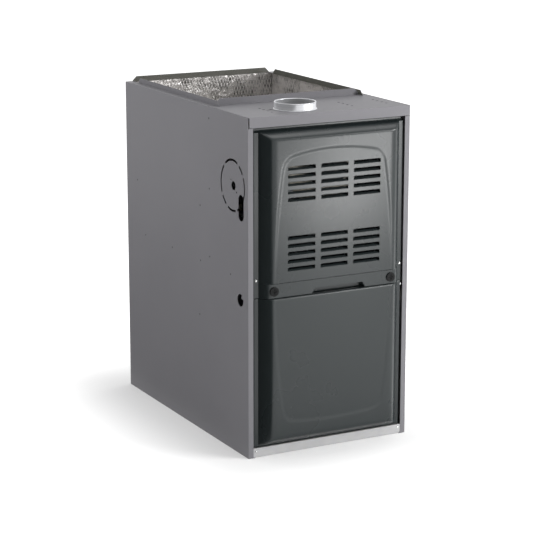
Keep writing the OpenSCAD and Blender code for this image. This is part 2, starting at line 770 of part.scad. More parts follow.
module inducer_wheel() color("#b4b6b8") at_front() {
    y1 = inducer_y1 - 10;
    y0 = y1 - inducer_wheel_d;
    rod_y(inducer_shaft_r, inducer_x, fan_front_y, y1, inducer_z);
    rod_y(inducer_wheel_r, inducer_x, y0, y0 + 1.5, inducer_z);
    rod_y(11, inducer_x, y0 - 5, y0 + 14, inducer_z);
    translate([inducer_x, y1, inducer_z]) rotate([90, 0, 0]) {
        linear_extrude(inducer_wheel_d) for (i = [0:15])
            rotate(i * 22.5) translate([inlet_eye_r + 2, 0]) rotate(28) square([19, 1.2]);
        difference() {
            cylinder(r = inducer_wheel_r, h = 2);
            translate([0, 0, -1]) cylinder(r = inlet_eye_r + 3, h = 4);
        }
    }
}

module inducer_cooling_fan() color("#3a3c3e") at_front() translate([inducer_x, 0, inducer_z]) {
    difference() {
        rod_y(9, 0, fan_front_y, motor_front_y - 1, 0);
        rod_y(inducer_shaft_r, 0, fan_front_y - cut, motor_front_y, 0);
    }
    for (i = [0:5])
        rotate([0, i * 60, 0]) translate([8, (fan_front_y + motor_front_y - 1) / 2, 0])
            rotate([25, 0, 0]) translate([0, -0.6, -8]) cube([24, 1.2, 16]);
}

// ---- Burners and gas train ----
module burner_box() color("#a9abad") at_front() difference() {
    box(-collector_hw, collector_hw, box_y0, vestibule_y, box_z0, box_z1);
    box(-collector_hw + sheet_t, collector_hw - sheet_t, box_y0 + sheet_t, vestibule_y + cut,
        box_z0 + sheet_t, box_z1 - sheet_t);
    for (i = [0:tube_n - 1])
        rod_y(burner_mouth_r + seat_gap, tube_x(i), box_y0 - cut, box_y0 + 3, burner_z);
    rod_z(6, tube_x(tube_n - 1), vestibule_y - 10, box_z1 - 3, box_z1 + 3);
    rod_z(4, tube_x(0), vestibule_y - 10, box_z1 - 3, box_z1 + 3);
}

module burners() color("#8d8f90") at_front() {
    wall = 1.2;
    straight = 20;
    head_at = burner_l * 0.66;
    for (i = [0:tube_n - 1])
        translate([tube_x(i), burner_y, burner_z]) rotate([-90, 0, 0]) rotate_extrude($fn = 48)
            polygon([[burner_mouth_r - wall, 0], [burner_mouth_r, 0], [burner_mouth_r, straight],
                [burner_throat_r, straight + 18], [burner_throat_r, head_at - 14],
                [burner_head_r, head_at], [burner_head_r, burner_l], [burner_head_r - wall, burner_l],
                [burner_head_r - wall, head_at], [burner_throat_r - wall, head_at - 14],
                [burner_throat_r - wall, straight + 18], [burner_mouth_r - wall, straight]]);
    // Carry-over strip that joins the flame heads
    box(tube_x(0), tube_x(tube_n - 1), burner_y + burner_l - 24, burner_y + burner_l - 8,
        burner_z + burner_head_r - 1, burner_z + burner_head_r + 1.5);
}

module gas_manifold() color("#3b3d3f") at_front() difference() {
    end_x = tube_x(tube_n - 1) + 28;
    union() {
        rod_x(pipe_r, -collector_hw + 4, end_x, manifold_y, burner_z);
        rod_z(pipe_r, -valve_left, manifold_y, burner_z, valve_z0);
        rod_z(pipe_r + 3, -valve_left, manifold_y, burner_z + 16, burner_z + 26);
        for (s = [0, 1])
            mirror([s, 0, 0])
                box(tube_x(tube_n - 1) + burner_mouth_r + 2, collector_hw, manifold_y,
                    box_y0 - seat_gap, burner_z + pipe_r - 2, burner_z + pipe_r);
    }
    rod_x(pipe_r - 2.8, -collector_hw + 8, end_x - 6, manifold_y, burner_z);
    rod_z(pipe_r - 2.8, -valve_left, manifold_y, burner_z, valve_z0 + cut);
    for (i = [0:tube_n - 1])
        rod_y(orifice_r - 1, tube_x(i), manifold_y, manifold_y + pipe_r + cut, burner_z);
}
orifice_r = 5;

module gas_orifices() color("#b99a4b") at_front()
    for (i = [0:tube_n - 1]) difference() {
        translate([tube_x(i), 0, burner_z]) {
            rod_y(orifice_r - 1, 0, manifold_y + pipe_r - 1.5, manifold_y + pipe_r + 3, 0);
            translate([0, manifold_y + pipe_r + 8, 0]) rotate([90, 0, 0])
                cylinder(r = orifice_r + 1, h = 7, $fn = 6);
            rod_y(orifice_r - 1.5, 0, manifold_y + pipe_r + 7, burner_y + 6, 0);
        }
        rod_y(1, tube_x(i), manifold_y + pipe_r - 3, burner_y + 8, burner_z);
    }

module gas_valve() color("#8f9194") at_front() difference() {
    x0 = -valve_left - valve_w / 2;
    x1 = -valve_left + valve_w / 2;
    union() {
        box(x0, x1, valve_y0, valve_y0 + valve_d, valve_z0, valve_z0 + valve_h * 0.72);
        box(x0 + 10, x1 - 8, valve_y0 + 6, valve_y0 + valve_d - 6,
            valve_z0 + valve_h * 0.7, valve_z0 + valve_h);
        rod_x(inlet_r + 5, x0 - 8, x0 + 20, gas_y, gas_z);
        rod_z(pipe_r + 5, -valve_left, manifold_y, valve_z0, valve_z0 + 12);
        for (s = [-1, 1])
            rod_z(11, -valve_left + s * 17, valve_y0 + valve_d / 2, valve_z0 + valve_h - 1,
                valve_z0 + valve_h + 15);
        rod_y(valve_knob_r + 2, -valve_left + 12, valve_y0 - 2, valve_y0 + 2, gas_z);
    }
    rod_x(inlet_r, x0 - 8 - cut, x0 - 8 + inlet_l, gas_y, gas_z);
    rod_y(3 + run_gap, -valve_left + 12, valve_y0 - 3, valve_y0 + 12, gas_z);
}

module gas_valve_knob() color("#c9ccd0") at_front() translate([-valve_left + 12, 0, gas_z]) {
    y1 = valve_y0 - 2 - seat_gap;
    rod_y(valve_knob_r, 0, y1 - 4, y1, 0);
    box(-3, 3, y1 - 10, y1 - 3, -valve_knob_r + 1, valve_knob_r - 1);
    rod_y(3, 0, y1 - 2, valve_y0 + 10, 0);
}

module igniter() color("#d8d2c4") at_front() translate([tube_x(tube_n - 1), vestibule_y - 10, 0]) {
    box(-11, 11, -7, 7, box_z1 + seat_gap, box_z1 + 14);
    rod_z(5, 0, 0, burner_z + 20, box_z1 + 1);
    for (s = [-1, 1])
        box(s * 2.5 - 1, s * 2.5 + 1, -1, 1, burner_z - 6, burner_z + 21);
    box(-3.5, 3.5, -1, 1, burner_z - 8, burner_z - 6);
}

module flame_sensor() color("#cfc7b6") at_front() translate([tube_x(0), vestibule_y - 10, 0]) {
    rod_z(3.7, 0, 0, box_z1 - 12, box_z1 + 16);
    rod_z(1.5, 0, 0, burner_z + 2, box_z1 - 11);
    box(-9, 9, -5, 5, box_z1 + seat_gap, box_z1 + 1.5);
}

module rollout_switches() color("#2b2c2e") at_front()
    for (s = [-1, 1]) translate([s * rollout_x, rollout_y, box_z1 + seat_gap]) difference() {
        union() {
            box(-17, 17, -8, 8, 0, 1.2);
            rod_z(rollout_r, 0, 0, 0, rollout_h);
            for (t = [-1, 1])
                box(t * 7 - 0.4, t * 7 + 0.4, -3, 3, rollout_h - 1, rollout_h + 7);
        }
        rod_z(button_r + run_gap, 0, 0, 3, rollout_h + cut);
    }

module rollout_button(s) color("#b8322b") at_front()
    translate([s * rollout_x, rollout_y, box_z1 + seat_gap])
        rod_z(button_r, 0, 0, 3 + button_travel + 0.5, rollout_h + 4);
module rollout_button_left() rollout_button(-1);
module rollout_button_right() rollout_button(1);

module limit_switch() color("#2b2c2e") at_front() translate([0, vestibule_y, burner_z + 90]) {
    box(-24, 24, -1.5, -seat_gap, -12, 12);
    rod_y(11, 0, -14, -1, 0);
    for (s = [-1, 1])
        box(s * 6 - 0.4, s * 6 + 0.4, -21, -13, -3, 3);
}

// ---- Pressure switch and its hose ----
switch_px = collector_hw - pressure_switch_r - 4;
switch_pz = top_pass_z - collector_below + pressure_switch_r + 44;
diaphragm_l = 14;
cover_l = diaphragm_l + 10;
boss_l = cover_l + 8;
nipple_l = boss_l + 12;
module pressure_switch() color("#3a3d41") at_front()
    translate([switch_px, inducer_y1, switch_pz]) {
        rod_y(pressure_switch_r, 0, -diaphragm_l, 0, 0);
        rod_y(pressure_switch_r - 3, 0, -cover_l, -diaphragm_l, 0);
        rod_y(pressure_switch_r - 14, 0, -boss_l, -cover_l, 0);
        rod_y(hose_r - 1.5, 0, -nipple_l, -boss_l, 0);
        box(-pressure_switch_r - 6, pressure_switch_r + 6, -1, 0, -7, 7);
    }

// Tube swept along a smooth curve through four guide points
function curve(p, n) = [for (i = [0:n]) let (t = i / n, u = 1 - t)
    u * u * u * p[0] + 3 * u * u * t * p[1] + 3 * u * t * t * p[2] + t * t * t * p[3]];
function unit(v) = v / norm(v);
function ring(c, dir, side, r, sides) = let (u = unit(cross(dir, side)), v = cross(dir, u))
    [for (k = [0:sides - 1]) c + r * (cos(360 * k / sides) * u + sin(360 * k / sides) * v)];
module swept(p, r, n = 18, sides = 8) {
    c = curve(p, n);
    bow = cross(p[3] - p[0], p[1] - p[0]);
    side = norm(bow) > 1 ? unit(bow) : [1, 0, 0];
    ends = [unit(p[1] - p[0]), unit(p[3] - p[2])];
    dirs = [for (i = [0:n]) i == 0 ? ends[0] : i == n ? ends[1] : unit(c[i + 1] - c[i - 1])];
    pts = [for (i = [0:n]) each ring(c[i], dirs[i], side, r, sides)];
    walls = [for (i = [0:n - 1]) for (k = [0:sides - 1])
        [i * sides + k, (i + 1) * sides + k, (i + 1) * sides + (k + 1) % sides,
            i * sides + (k + 1) % sides]];
    polyhedron(points = pts, faces = concat(walls, [[for (k = [0:sides - 1]) k]],
        [[for (k = [sides - 1:-1:0]) n * sides + k]]), convexity = 6);
}

// Hose from the pressure switch down to a tap on the inducer housing
tap_z = inducer_z - 40;
tap_x = inducer_x + 72;
hose_pts = [[switch_px, inducer_y1 - nipple_l - seat_gap, switch_pz], [switch_px, 20, switch_pz],
    [tap_x, 10, tap_z], [tap_x, inducer_y0 - seat_gap, tap_z]];
module pressure_hose() color("#1d1e1f") at_front() swept(hose_pts, hose_r);

// Bundled leads: board to deck, through the deck, deck to valve, board to blower motor
lead_r = [6, 5.6, 4, 5];
lead_out_z = board_z0 + 76;
lead_low_z = deck_z - 14;
lead_high_z = deck_z + 18;
valve_side_x = -valve_left + valve_w / 2 + seat_gap;
motor_lead_x = motor_x0 + 24;
lead_runs = [
    [[board_x0 + board_w - 20, board_y - 13, lead_out_z], [board_x0 + board_w - 20, 10, lead_out_z],
        [grommet_x, grommet_y, seam_z + 12], [grommet_x, grommet_y, lead_low_z]],
    [[grommet_x, grommet_y, lead_low_z - 2], [grommet_x, grommet_y, deck_z - 5.5],
        [grommet_x, grommet_y, deck_z + 5], [grommet_x, grommet_y, lead_high_z + 2]],
    [[grommet_x, grommet_y, lead_high_z], [grommet_x, -40, deck_z + 36],
        [valve_side_x + 48, gas_y, valve_z0 + 22], [valve_side_x, gas_y, valve_z0 + 22]],
    [[-55, board_y - 3, control_z0 + 47], [-55, -100, control_z0 + 7],
        [motor_lead_x, blower_y - 240, blower_z - 45], [motor_lead_x, blower_y - motor_r - 1.6, blower_z]]];
module wiring_harness() color("#26282b") at_front()
    for (i = [0:3]) swept(lead_runs[i], lead_r[i], 18);

// ---- Controls ----
module junction_box() color("#a9abad") at_front() difference() {
    x0 = -wall_x + seat_gap;
    z0 = wire_hole_z - jbox_h / 2;
    box(x0, x0 + jbox_w, jbox_y0, jbox_y0 + jbox_d, z0, z0 + jbox_h);
    box(x0 + sheet_t, x0 + jbox_w - sheet_t, jbox_y0 + sheet_t, jbox_y0 + jbox_d - sheet_t,
        z0 + sheet_t, z0 + jbox_h - sheet_t);
    rod_x(wire_hole_r, x0 - cut, x0 + 3, wire_hole_y, wire_hole_z);
}

module control_panel() color("#b4b6b8") at_front() {
    hw = control_w / 2;
    z1 = deck_z - sheet_t;
    box(-hw, hw, control_y, control_y + sheet_t, control_z0, z1);
    box(-hw, hw, control_y - 30, control_y, control_z0, control_z0 + sheet_t);
    box(-hw, hw, control_y, control_y + 14, z1 - sheet_t, z1);
}

module control_board() color("#2f6b4a") at_front() {
    x1 = board_x0 + board_w;
    box(board_x0, x1, board_y - 1.6, board_y, board_z0, board_z0 + board_h);
    for (x = [board_x0 + 8, x1 - 8])
        for (z = [board_z0 + 8, board_z0 + board_h - 8])
            rod_y(3, x, board_y, control_y - seat_gap / 3, z);
    // Relays, connectors and the two round capacitors
    for (i = [0:2])
        box(board_x0 + 16 + i * 30, board_x0 + 38 + i * 30, board_y - 18, board_y - 1.6,
            board_z0 + board_h - 44, board_z0 + board_h - 24);
    box(board_x0 + 14, board_x0 + 74, board_y - 12, board_y - 1.6, board_z0 + 10, board_z0 + 20);
    box(x1 - 26, x1 - 14, board_y - 12, board_y - 1.6, board_z0 + 24, board_z0 + 84);
    box(board_x0 + 84, board_x0 + 104, board_y - 6, board_y - 1.6, board_z0 + 34, board_z0 + 54);
    for (i = [0:1])
        rod_y(7, board_x0 + 34 + i * 20, board_y - 22, board_y - 1.6, board_z0 + 42);
}

module transformer() color("#55585b") at_front() {
    x0 = board_x0 + board_w + 14;
    z0 = control_z0 + 40;
    y1 = control_y - seat_gap / 3;
    box(x0, x0 + 58, y1 - 46, y1 - 8, z0, z0 + 50);
    box(x0 + 10, x0 + 48, y1 - 56, y1 - 45, z0 + 8, z0 + 42);
    for (s = [0, 1])
        box(x0 + s * 46, x0 + 12 + s * 46, y1 - 9, y1, z0 - 8, z0 + 58);
}

module door_switch() color("#e4e2da") at_front() difference() {
    union() {
        box(switch_x - 9, switch_x + 9, switch_y, switch_y + 28, switch_z - 10, switch_z + 10);
        box(switch_x - 12, wall_x - seat_gap, switch_y + 6, switch_y + 8, switch_z - 14, switch_z + 14);
        box(wall_x - seat_gap - 1, wall_x - seat_gap, switch_y + 6, switch_y + 30,
            switch_z - 14, switch_z + 14);
    }
    rod_y(plunger_r + run_gap, switch_x, switch_y - cut, switch_y + 22, switch_z);
}

module door_switch_plunger() color("#f0eee6") at_front() {
    tip_y = door_inset + door_t + seat_gap;
    rod_y(plunger_r, switch_x, tip_y, switch_y + 18, switch_z);
}

module deck_grommet() color("#1d1e1f") at_front() translate([grommet_x, grommet_y, deck_z])
    rotate_extrude($fn = 48) {
        translate([lead_r[1] + seat_gap, -sheet_t])
            square([grommet_r - lead_r[1] - seat_gap - run_gap, sheet_t]);
        translate([lead_r[1] + seat_gap, 0]) square([grommet_r - lead_r[1] + 2, 2.5]);
        translate([lead_r[1] + seat_gap, -sheet_t - 2.5]) square([grommet_r - lead_r[1] + 2, 2.5]);
    }

// ---- Blower ----
// Scroll outline in (y, z), growing from the cut-off round to the outlet at the back
function scroll(r0, r1) = [for (a = [90:7.5:360])
    let (r = r0 + (r1 - r0) * (a - 90) / 270) [r * cos(a), r * sin(a)]];
module blower_outline(shrink, top) translate([blower_y, blower_z])
    polygon(concat(scroll(housing_r0 - shrink, housing_r1 - shrink),
        [[housing_r1 - shrink, top - blower_z], [shrink, top - blower_z],
         [shrink, housing_r0 - shrink]]));

module blower_wrap() color("#a5a7a9") at_front() difference() {
    along_x(-inner_hw, housing_w) blower_outline(0, housing_top_z);
    along_x(-inner_hw - cut, housing_w + 2 * cut) blower_outline(sheet_t, housing_top_z + cut);
}

module blower_side(s) color("#a5a7a9") at_front() {
    x0 = s < 0 ? -inner_hw - sheet_t : inner_hw;
    difference() {
        union() {
            along_x(x0, sheet_t) blower_outline(0, housing_top_z);
            // Hook that rides on the deck's runner
            box(s < 0 ? -inner_hw - 12 : inner_hw, s < 0 ? -inner_hw : inner_hw + 12,
                blower_y + 20, blower_y + housing_r1 - 20,
                deck_z - runner_drop + 2.5, deck_z - runner_drop + 3.5);
        }
        rod_x(inlet_ring_r, x0 - cut, x0 + sheet_t + cut, blower_y, blower_z);
    }
    // Rolled inlet ring
    translate([s * inner_hw, blower_y, blower_z]) rotate([0, -s * 90, 0])
        rotate_extrude($fn = 96) {
            translate([inlet_ring_r - 3, -sheet_t]) square([3.2, sheet_t + 8]);
            translate([inlet_ring_r - 1, -sheet_t - 2]) square([6, 2]);
        }
}
module blower_side_left() blower_side(-1);
module blower_side_right() blower_side(1);

module blower_wheel() color("#b4b6b8") at_front() translate([0, blower_y, blower_z])
    rotate([90, 0, 90]) difference() {
        union() {
            translate([0, 0, -wheel_w / 2]) linear_extrude(wheel_w) for (i = [0:blade_n - 1])
                rotate(i * 360 / blade_n) translate([wheel_r - 21, 0]) rotate(24) square([21, 1.2]);
            for (z = [-wheel_w / 2, wheel_w / 2 - 5])
                translate([0, 0, z]) difference() {
                    cylinder(r = wheel_r, h = 5, $fn = 96);
                    translate([0, 0, -cut]) cylinder(r = wheel_r - 6, h = 5 + 2 * cut, $fn = 96);
                }
            translate([0, 0, -1]) cylinder(r = wheel_r - 2, h = 2, $fn = 96);
            translate([0, 0, -18]) cylinder(r = hub_r, h = 36);
        }
        translate([0, 0, -30]) cylinder(r = shaft_r, h = 60);
    }

module blower_shaft() color("#c8cacc") at_front()
    rod_x(shaft_r, motor_x0 - 12, 28, blower_y, blower_z);

module blower_motor() color("#3c3f42") at_front() difference() {
    union() {
        rod_x(motor_r, motor_x0 + 14, motor_x1 - 10, blower_y, blower_z);
        rod_x(motor_r - 7, motor_x0 + 4, motor_x1 - 3, blower_y, blower_z);
        rod_x(20, motor_x0, motor_x1, blower_y, blower_z);
    }
    rod_x(shaft_r + run_gap, motor_x0 - cut, motor_x1 + cut, blower_y, blower_z);
    for (i = [0:11])
        translate([0, blower_y, blower_z]) rotate([i * 30, 0, 0])
            box(motor_x0 + 3, motor_x0 + 9, 34, 52, -4, 4);
}

// Belly band round the motor, with three legs to the left inlet ring
band_x0 = -inner_hw - 24;
module motor_mount() color("#8f9194") at_front() translate([0, blower_y, blower_z]) {
    foot_r = inlet_ring_r + 6;
    difference() {
        rod_x(motor_r + 2.2, band_x0 - 14, band_x0 + 14, 0, 0);
        rod_x(motor_r, band_x0 - 15, band_x0 + 15, 0, 0);
    }
    for (a = [90, 210, 330]) rotate([a, 0, 0]) {
        box(band_x0 - 2, band_x0 + 2, motor_r + 1.5, foot_r + 8, -8, 8);
        box(band_x0 - 2, -inner_hw - sheet_t - seat_gap, foot_r + 4, foot_r + 8, -8, 8);
    }
}

module capacitor() color("#c4c6c8") at_front() {
    r = 22;
    half_l = 36;
    y = blower_y - (housing_r0 + (housing_r1 - housing_r0) / 3) - r - 1;
    translate([50, y, blower_z]) {
        rod_z(r, 0, 0, -half_l, half_l);
        rod_z(r - 3, 0, 0, half_l - 1, half_l + 2);
        for (s = [-1, 1])
            box(s * 8 - 0.5, s * 8 + 0.5, -3, 3, half_l + 1, half_l + 10);
        box(-8, 8, 0, r + 1, 0, 6);
    }
}

// ---- Doors ----
// Raised pan: base at the flange plane, sloping forward to a flat face
module pan(base, face, y_face, foot, foot_face, top, top_face, back) {
    intersection() {
        translate([0, 0, foot]) linear_extrude(top - foot)
            polygon([[-base, back], [-base, door_inset], [-face, y_face], [face, y_face],
                [base, door_inset], [base, back]]);
        along_x(-base, 2 * base)
            polygon([[back, foot], [door_inset, foot], [y_face, foot_face], [y_face, top_face],
                [door_inset, top], [back, top]]);
    }
}

// Barrel-shaped panel outline in (x, z), shared by both doors
module barrel(grow) intersection() {
    intersection_for(s = [-1, 1])
        translate([s * (barrel_hw - barrel_side_r), barrel_mid_z])
            circle(r = barrel_side_r + grow, $fn = 4 * arc_fn);
    translate([0, barrel_top_z - barrel_top_r])
        circle(r = barrel_top_r + grow, $fn = 2 * arc_fn);
    translate([0, barrel_foot_z + barrel_foot_r])
        circle(r = barrel_foot_r + grow, $fn = 2 * arc_fn);
    translate([-half_w, barrel_foot_z - 5]) square([casing_w, barrel_top_z - barrel_foot_z + 10]);
}

module upper_pan(shrink) {
    difference() {
        pan(pan_hw - shrink, face_hw - shrink, -door_proud + shrink, upper_foot_z + band_h - shrink / 2,
            upper_foot_z + band_h - shrink / 2, door_top_z - 9 - shrink,
            door_top_z - 9 - top_slope_h - shrink / 2, door_back_y + shrink);
        along_y(-door_proud - cut, panel_recess + cut + shrink) barrel(shrink);
    }
    difference() {
        pan(pan_hw - shrink, band_hw - shrink, band_y + shrink, upper_foot_z + shrink,
            upper_foot_z + shrink, upper_foot_z + band_h + 2 - shrink,
            upper_foot_z + band_h + 2 - shrink, door_back_y + shrink);
        along_y(band_y - cut, pull_d + cut + shrink) finger_pull(shrink);
    }
}

module lower_pan(shrink) difference() {
    pan(pan_hw - shrink, face_hw - shrink, -door_proud + shrink, door_foot_z + 2 + shrink,
        door_foot_z + 2 + foot_slope_h + shrink / 2, lower_top_z - shrink, lower_top_z - shrink,
        door_back_y + shrink);
    along_y(-door_proud - cut, panel_recess + cut + shrink) barrel(shrink);
}

module finger_pull(grow) translate([pull_right, upper_foot_z]) {
    hw = pull_w / 2 + grow;
    polygon([[-hw, -cut], [hw, -cut], [hw - 8, pull_h + grow], [-hw + 12, pull_h + grow]]);
}

module door_tray(foot, top, shrink) {
    box(-door_hw - door_left_reach + shrink, door_hw - shrink, door_inset + shrink,
        door_back_y + shrink, foot + shrink, top - shrink);
}

module louvre_slot() {
    r = louvre_h / 2;
    translate([-louvre_w / 2, 0]) square([louvre_w, louvre_h - r]);
    translate([-louvre_w / 2 + r, 0]) square([louvre_w - 2 * r, louvre_h]);
    for (s = [-1, 1])
        translate([s * (louvre_w / 2 - r), louvre_h - r]) circle(r = r, $fn = 32);
}

// Vane pressed in from the foot of a louvre, closed at both ends
module louvre_vane() {
    y0 = -door_proud + panel_recess;
    tip = louvre_h * vane_share;
    along_x(-louvre_w / 2, louvre_w)
        polygon([[y0, -0.5], [y0, 0], [y0 + louvre_d, tip], [y0 + louvre_d + 0.8, tip - 0.7],
            [y0 + door_t, -0.5]]);
    for (x = [-louvre_w / 2, louvre_w / 2 - 0.8])
        along_x(x, 0.8) polygon([[y0 + 0.2, 0], [y0 + louvre_d, tip], [y0 + door_t, louvre_h * 0.7]]);
}

// Lowest louvre of the lower group and of the upper one
louvre_first_z = [seam_z + louvre_low_rise, door_top_z - louvre_top_drop];
module each_louvre() {
    for (group = [0, 1])
        for (row = [0:louvre_rows - 1])
            for (col = [0:louvre_cols - 1])
                translate([(col - (louvre_cols - 1) / 2) * louvre_col_pitch, 0,
                    louvre_first_z[group] + row * louvre_row_pitch])
                    children();
}

module upper_door() color("#4e5454") at_front() {
    difference() {
        union() {
            door_tray(upper_foot_z, door_top_z, 0);
            upper_pan(0);
        }
        door_tray(upper_foot_z, door_top_z, door_t);
        upper_pan(door_t);
        each_louvre() along_y(-door_proud + panel_recess - cut, door_t + 2 * cut) louvre_slot();
        for (s = [-1, 1])
            rod_y(stud_r + stud_hole_gap, s * knob_x, band_y - cut, band_y + 3, knob_z);
        for (s = [-1, 1])
            rod_y(screw_hole_r, s * door_screw_x, door_inset - cut, door_inset + 3, deck_z);
    }
    each_louvre() louvre_vane();
}
door_screw_x = door_hw - door_flange_w / 2 + 1;

module lower_door() color("#4e5454") at_front() difference() {
    union() {
        door_tray(door_foot_z, lower_top_z, 0);
        lower_pan(0);
    }
    door_tray(door_foot_z, lower_top_z, door_t);
    lower_pan(door_t);
}

module screw(head_r, head_h, l) {
    cylinder(r1 = head_r, r2 = head_r * 0.7, h = head_h);
    translate([0, 0, -l]) cylinder(r = screw_hole_r - 0.1, h = l + 0.5);
}

module door_screws() color("#d9dadb") at_front()
    for (s = [-1, 1])
        translate([s * door_screw_x, door_inset - 0.05, deck_z]) rotate([90, 0, 0])
            screw(screw_head_r, 2.2, 6);

module casing_screws() color("#d9dadb") at_front()
    for (s = [-1, 1])
        translate([s * rail_screw_x, 1 - tab_proud - 0.05, rail_screw_z]) rotate([90, 0, 0])
            screw(screw_head_r, 2, 6);

module knob(s) color("#1c1d1f") at_front() translate([s * knob_x, 0, knob_z]) {
    difference() {
        rod_y(knob_r, 0, band_y - knob_h, band_y - 0.05, 0);
        box(-1.2, 1.2, band_y - knob_h - cut, band_y - knob_h + 1.6, -6, 6);
        box(-6, 6, band_y - knob_h - cut, band_y - knob_h + 1.6, -1.2, 1.2);
    }
    rod_y(stud_r, 0, band_y - 1, cam_y + cam_t, 0);
    box(-cam_l / 2, cam_l / 2, cam_y, cam_y + cam_t, -cam_w / 2, cam_w / 2);
}
module knob_left() knob(-1);
module knob_right() knob(1);

left_side_panel();
right_side_panel();
back_panel();
base_pan();
bottom_rail();
top_cap();
flue_collar();
vestibule_panel();
blower_deck();
insulation_left();
insulation_right();
insulation_back();
heat_exchanger_tubes();
collector_box();
burner_box();
burners();
gas_manifold();
gas_orifices();
gas_valve();
gas_valve_knob();
inducer_housing();
inducer_motor();
inducer_wheel();
inducer_cooling_fan();
flue_outlet_pipe();
pressure_switch();
pressure_hose();
igniter();
flame_sensor();
rollout_switches();
rollout_button_left();
rollout_button_right();
limit_switch();
junction_box();
control_panel();
control_board();
transformer();
door_switch();
door_switch_plunger();
deck_grommet();
wiring_harness();
blower_wrap();
blower_side_left();
blower_side_right();
blower_wheel();
blower_shaft();
blower_motor();
motor_mount();
capacitor();
casing_screws();
upper_door();
lower_door();
door_screws();
knob_left();
knob_right();
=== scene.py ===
"""Upflow forced-air gas furnace: pressed doors, foil lining, finishes and a plain studio.

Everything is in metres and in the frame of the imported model: X to the right, Y to the back, Z up.
Sizes of the furnace's pieces are millimetres. The casing's front plane, its middle and the floor are
where they count from, so a size here reads like one on a drawing of the furnace. The studio's sizes
are metres, apart from the camera's place, which is in millimetres from the casing's left front foot.
"""
import json
import logging
import math
from dataclasses import dataclass, field
from enum import Enum
from typing import Sequence

import bmesh
import bpy
import numpy as np
from bpy.types import Material, NodeSocket, NodeTree, Object, ShaderNode, World
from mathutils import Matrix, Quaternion, Vector, noise


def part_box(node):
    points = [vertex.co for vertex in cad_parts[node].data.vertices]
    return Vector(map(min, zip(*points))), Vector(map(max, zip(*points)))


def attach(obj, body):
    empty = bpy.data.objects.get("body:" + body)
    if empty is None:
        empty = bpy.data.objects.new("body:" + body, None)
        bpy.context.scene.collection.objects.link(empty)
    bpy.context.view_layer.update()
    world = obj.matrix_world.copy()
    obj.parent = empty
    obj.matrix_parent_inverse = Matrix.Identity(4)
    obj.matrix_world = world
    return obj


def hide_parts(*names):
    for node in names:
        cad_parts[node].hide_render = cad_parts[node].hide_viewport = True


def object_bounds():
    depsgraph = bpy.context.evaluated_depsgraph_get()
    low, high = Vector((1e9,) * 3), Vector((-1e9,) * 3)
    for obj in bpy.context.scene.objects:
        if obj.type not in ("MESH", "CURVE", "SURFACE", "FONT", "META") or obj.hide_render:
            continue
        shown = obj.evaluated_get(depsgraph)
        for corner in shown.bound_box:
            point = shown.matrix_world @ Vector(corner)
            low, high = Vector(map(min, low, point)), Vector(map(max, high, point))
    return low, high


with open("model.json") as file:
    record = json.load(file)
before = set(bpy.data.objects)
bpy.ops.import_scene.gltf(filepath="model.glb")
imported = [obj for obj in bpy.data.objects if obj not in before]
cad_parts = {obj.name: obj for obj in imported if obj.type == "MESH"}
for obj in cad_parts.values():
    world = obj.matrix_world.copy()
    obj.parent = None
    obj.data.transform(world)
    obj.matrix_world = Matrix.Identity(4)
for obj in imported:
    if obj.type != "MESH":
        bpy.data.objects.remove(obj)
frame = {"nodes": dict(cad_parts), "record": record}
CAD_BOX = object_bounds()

LOG = logging.getLogger("furnace")
MM = 0.001
WELD = 2e-5
SMOOTH_ANGLE = math.radians(32)
FLAT_ANGLE = math.radians(0.4)
EASE_STEPS = 2
KEEP_CLEAR = 0.4
WHITE = (1, 1, 1, 1)
FRONT_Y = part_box("left_side_panel")[0].y
BODY_OF = {n: body for body, nodes in frame["record"]["behaviour"]["bodies"].items() for n in nodes}


def linear(hex_code: str) -> tuple[float, float, float, float]:
    """Turn an sRGB hex colour into linear light.

    Args:
        hex_code: Colour such as "#7b7b7d".

    Returns:
        Red, green, blue and alpha.
    """
    shares = [int(hex_code[i:i + 2], 16) / 255 for i in (1, 3, 5)]
    red, green, blue = [s / 12.92 if s <= 0.04045 else ((s + 0.055) / 1.055) ** 2.4 for s in shares]
    return red, green, blue, 1.0


def lit(hex_code: str, factor: float) -> tuple[float, float, float, float]:
    """Lighten or darken a hex colour in linear light.

    Args:
        hex_code: Colour such as "#7b7b7d".
        factor: What its light is multiplied by.

    Returns:
        Red, green, blue and alpha, each at most 1.
    """
    red, green, blue, _ = linear(hex_code)
    return min(1.0, red * factor), min(1.0, green * factor), min(1.0, blue * factor), 1.0


def add_node(tree: NodeTree, kind: str, settings: dict | None = None,
             inputs: dict | None = None) -> ShaderNode:
    """Add a shader node with its settings and links.

    Args:
        tree: Node tree that takes the node.
        kind: Type of the node, such as "ShaderNodeTexNoise".
        settings: Attributes of the node and their values.
        inputs: Input names or numbers, each with a value or an output socket to link.

    Returns:
        The new node.
    """
    made = tree.nodes.new(kind)
    for name, value in (settings or {}).items():
        setattr(made, name, value)
    for name, value in (inputs or {}).items():
        if isinstance(value, NodeSocket):
            tree.links.new(value, made.inputs[name])
        else:
            made.inputs[name].default_value = value
    return made


def math_node(tree: NodeTree, operation: str, *values: float | NodeSocket) -> NodeSocket:
    """Add one calculation.

    Args:
        tree: Node tree that takes the node.
        operation: Name of the calculation, such as "ADD".
        values: Its inputs in order, each a number or an output socket.

    Returns:
        Socket with the result.
    """
    return add_node(tree, "ShaderNodeMath", {"operation": operation}, dict(enumerate(values))).outputs[0]


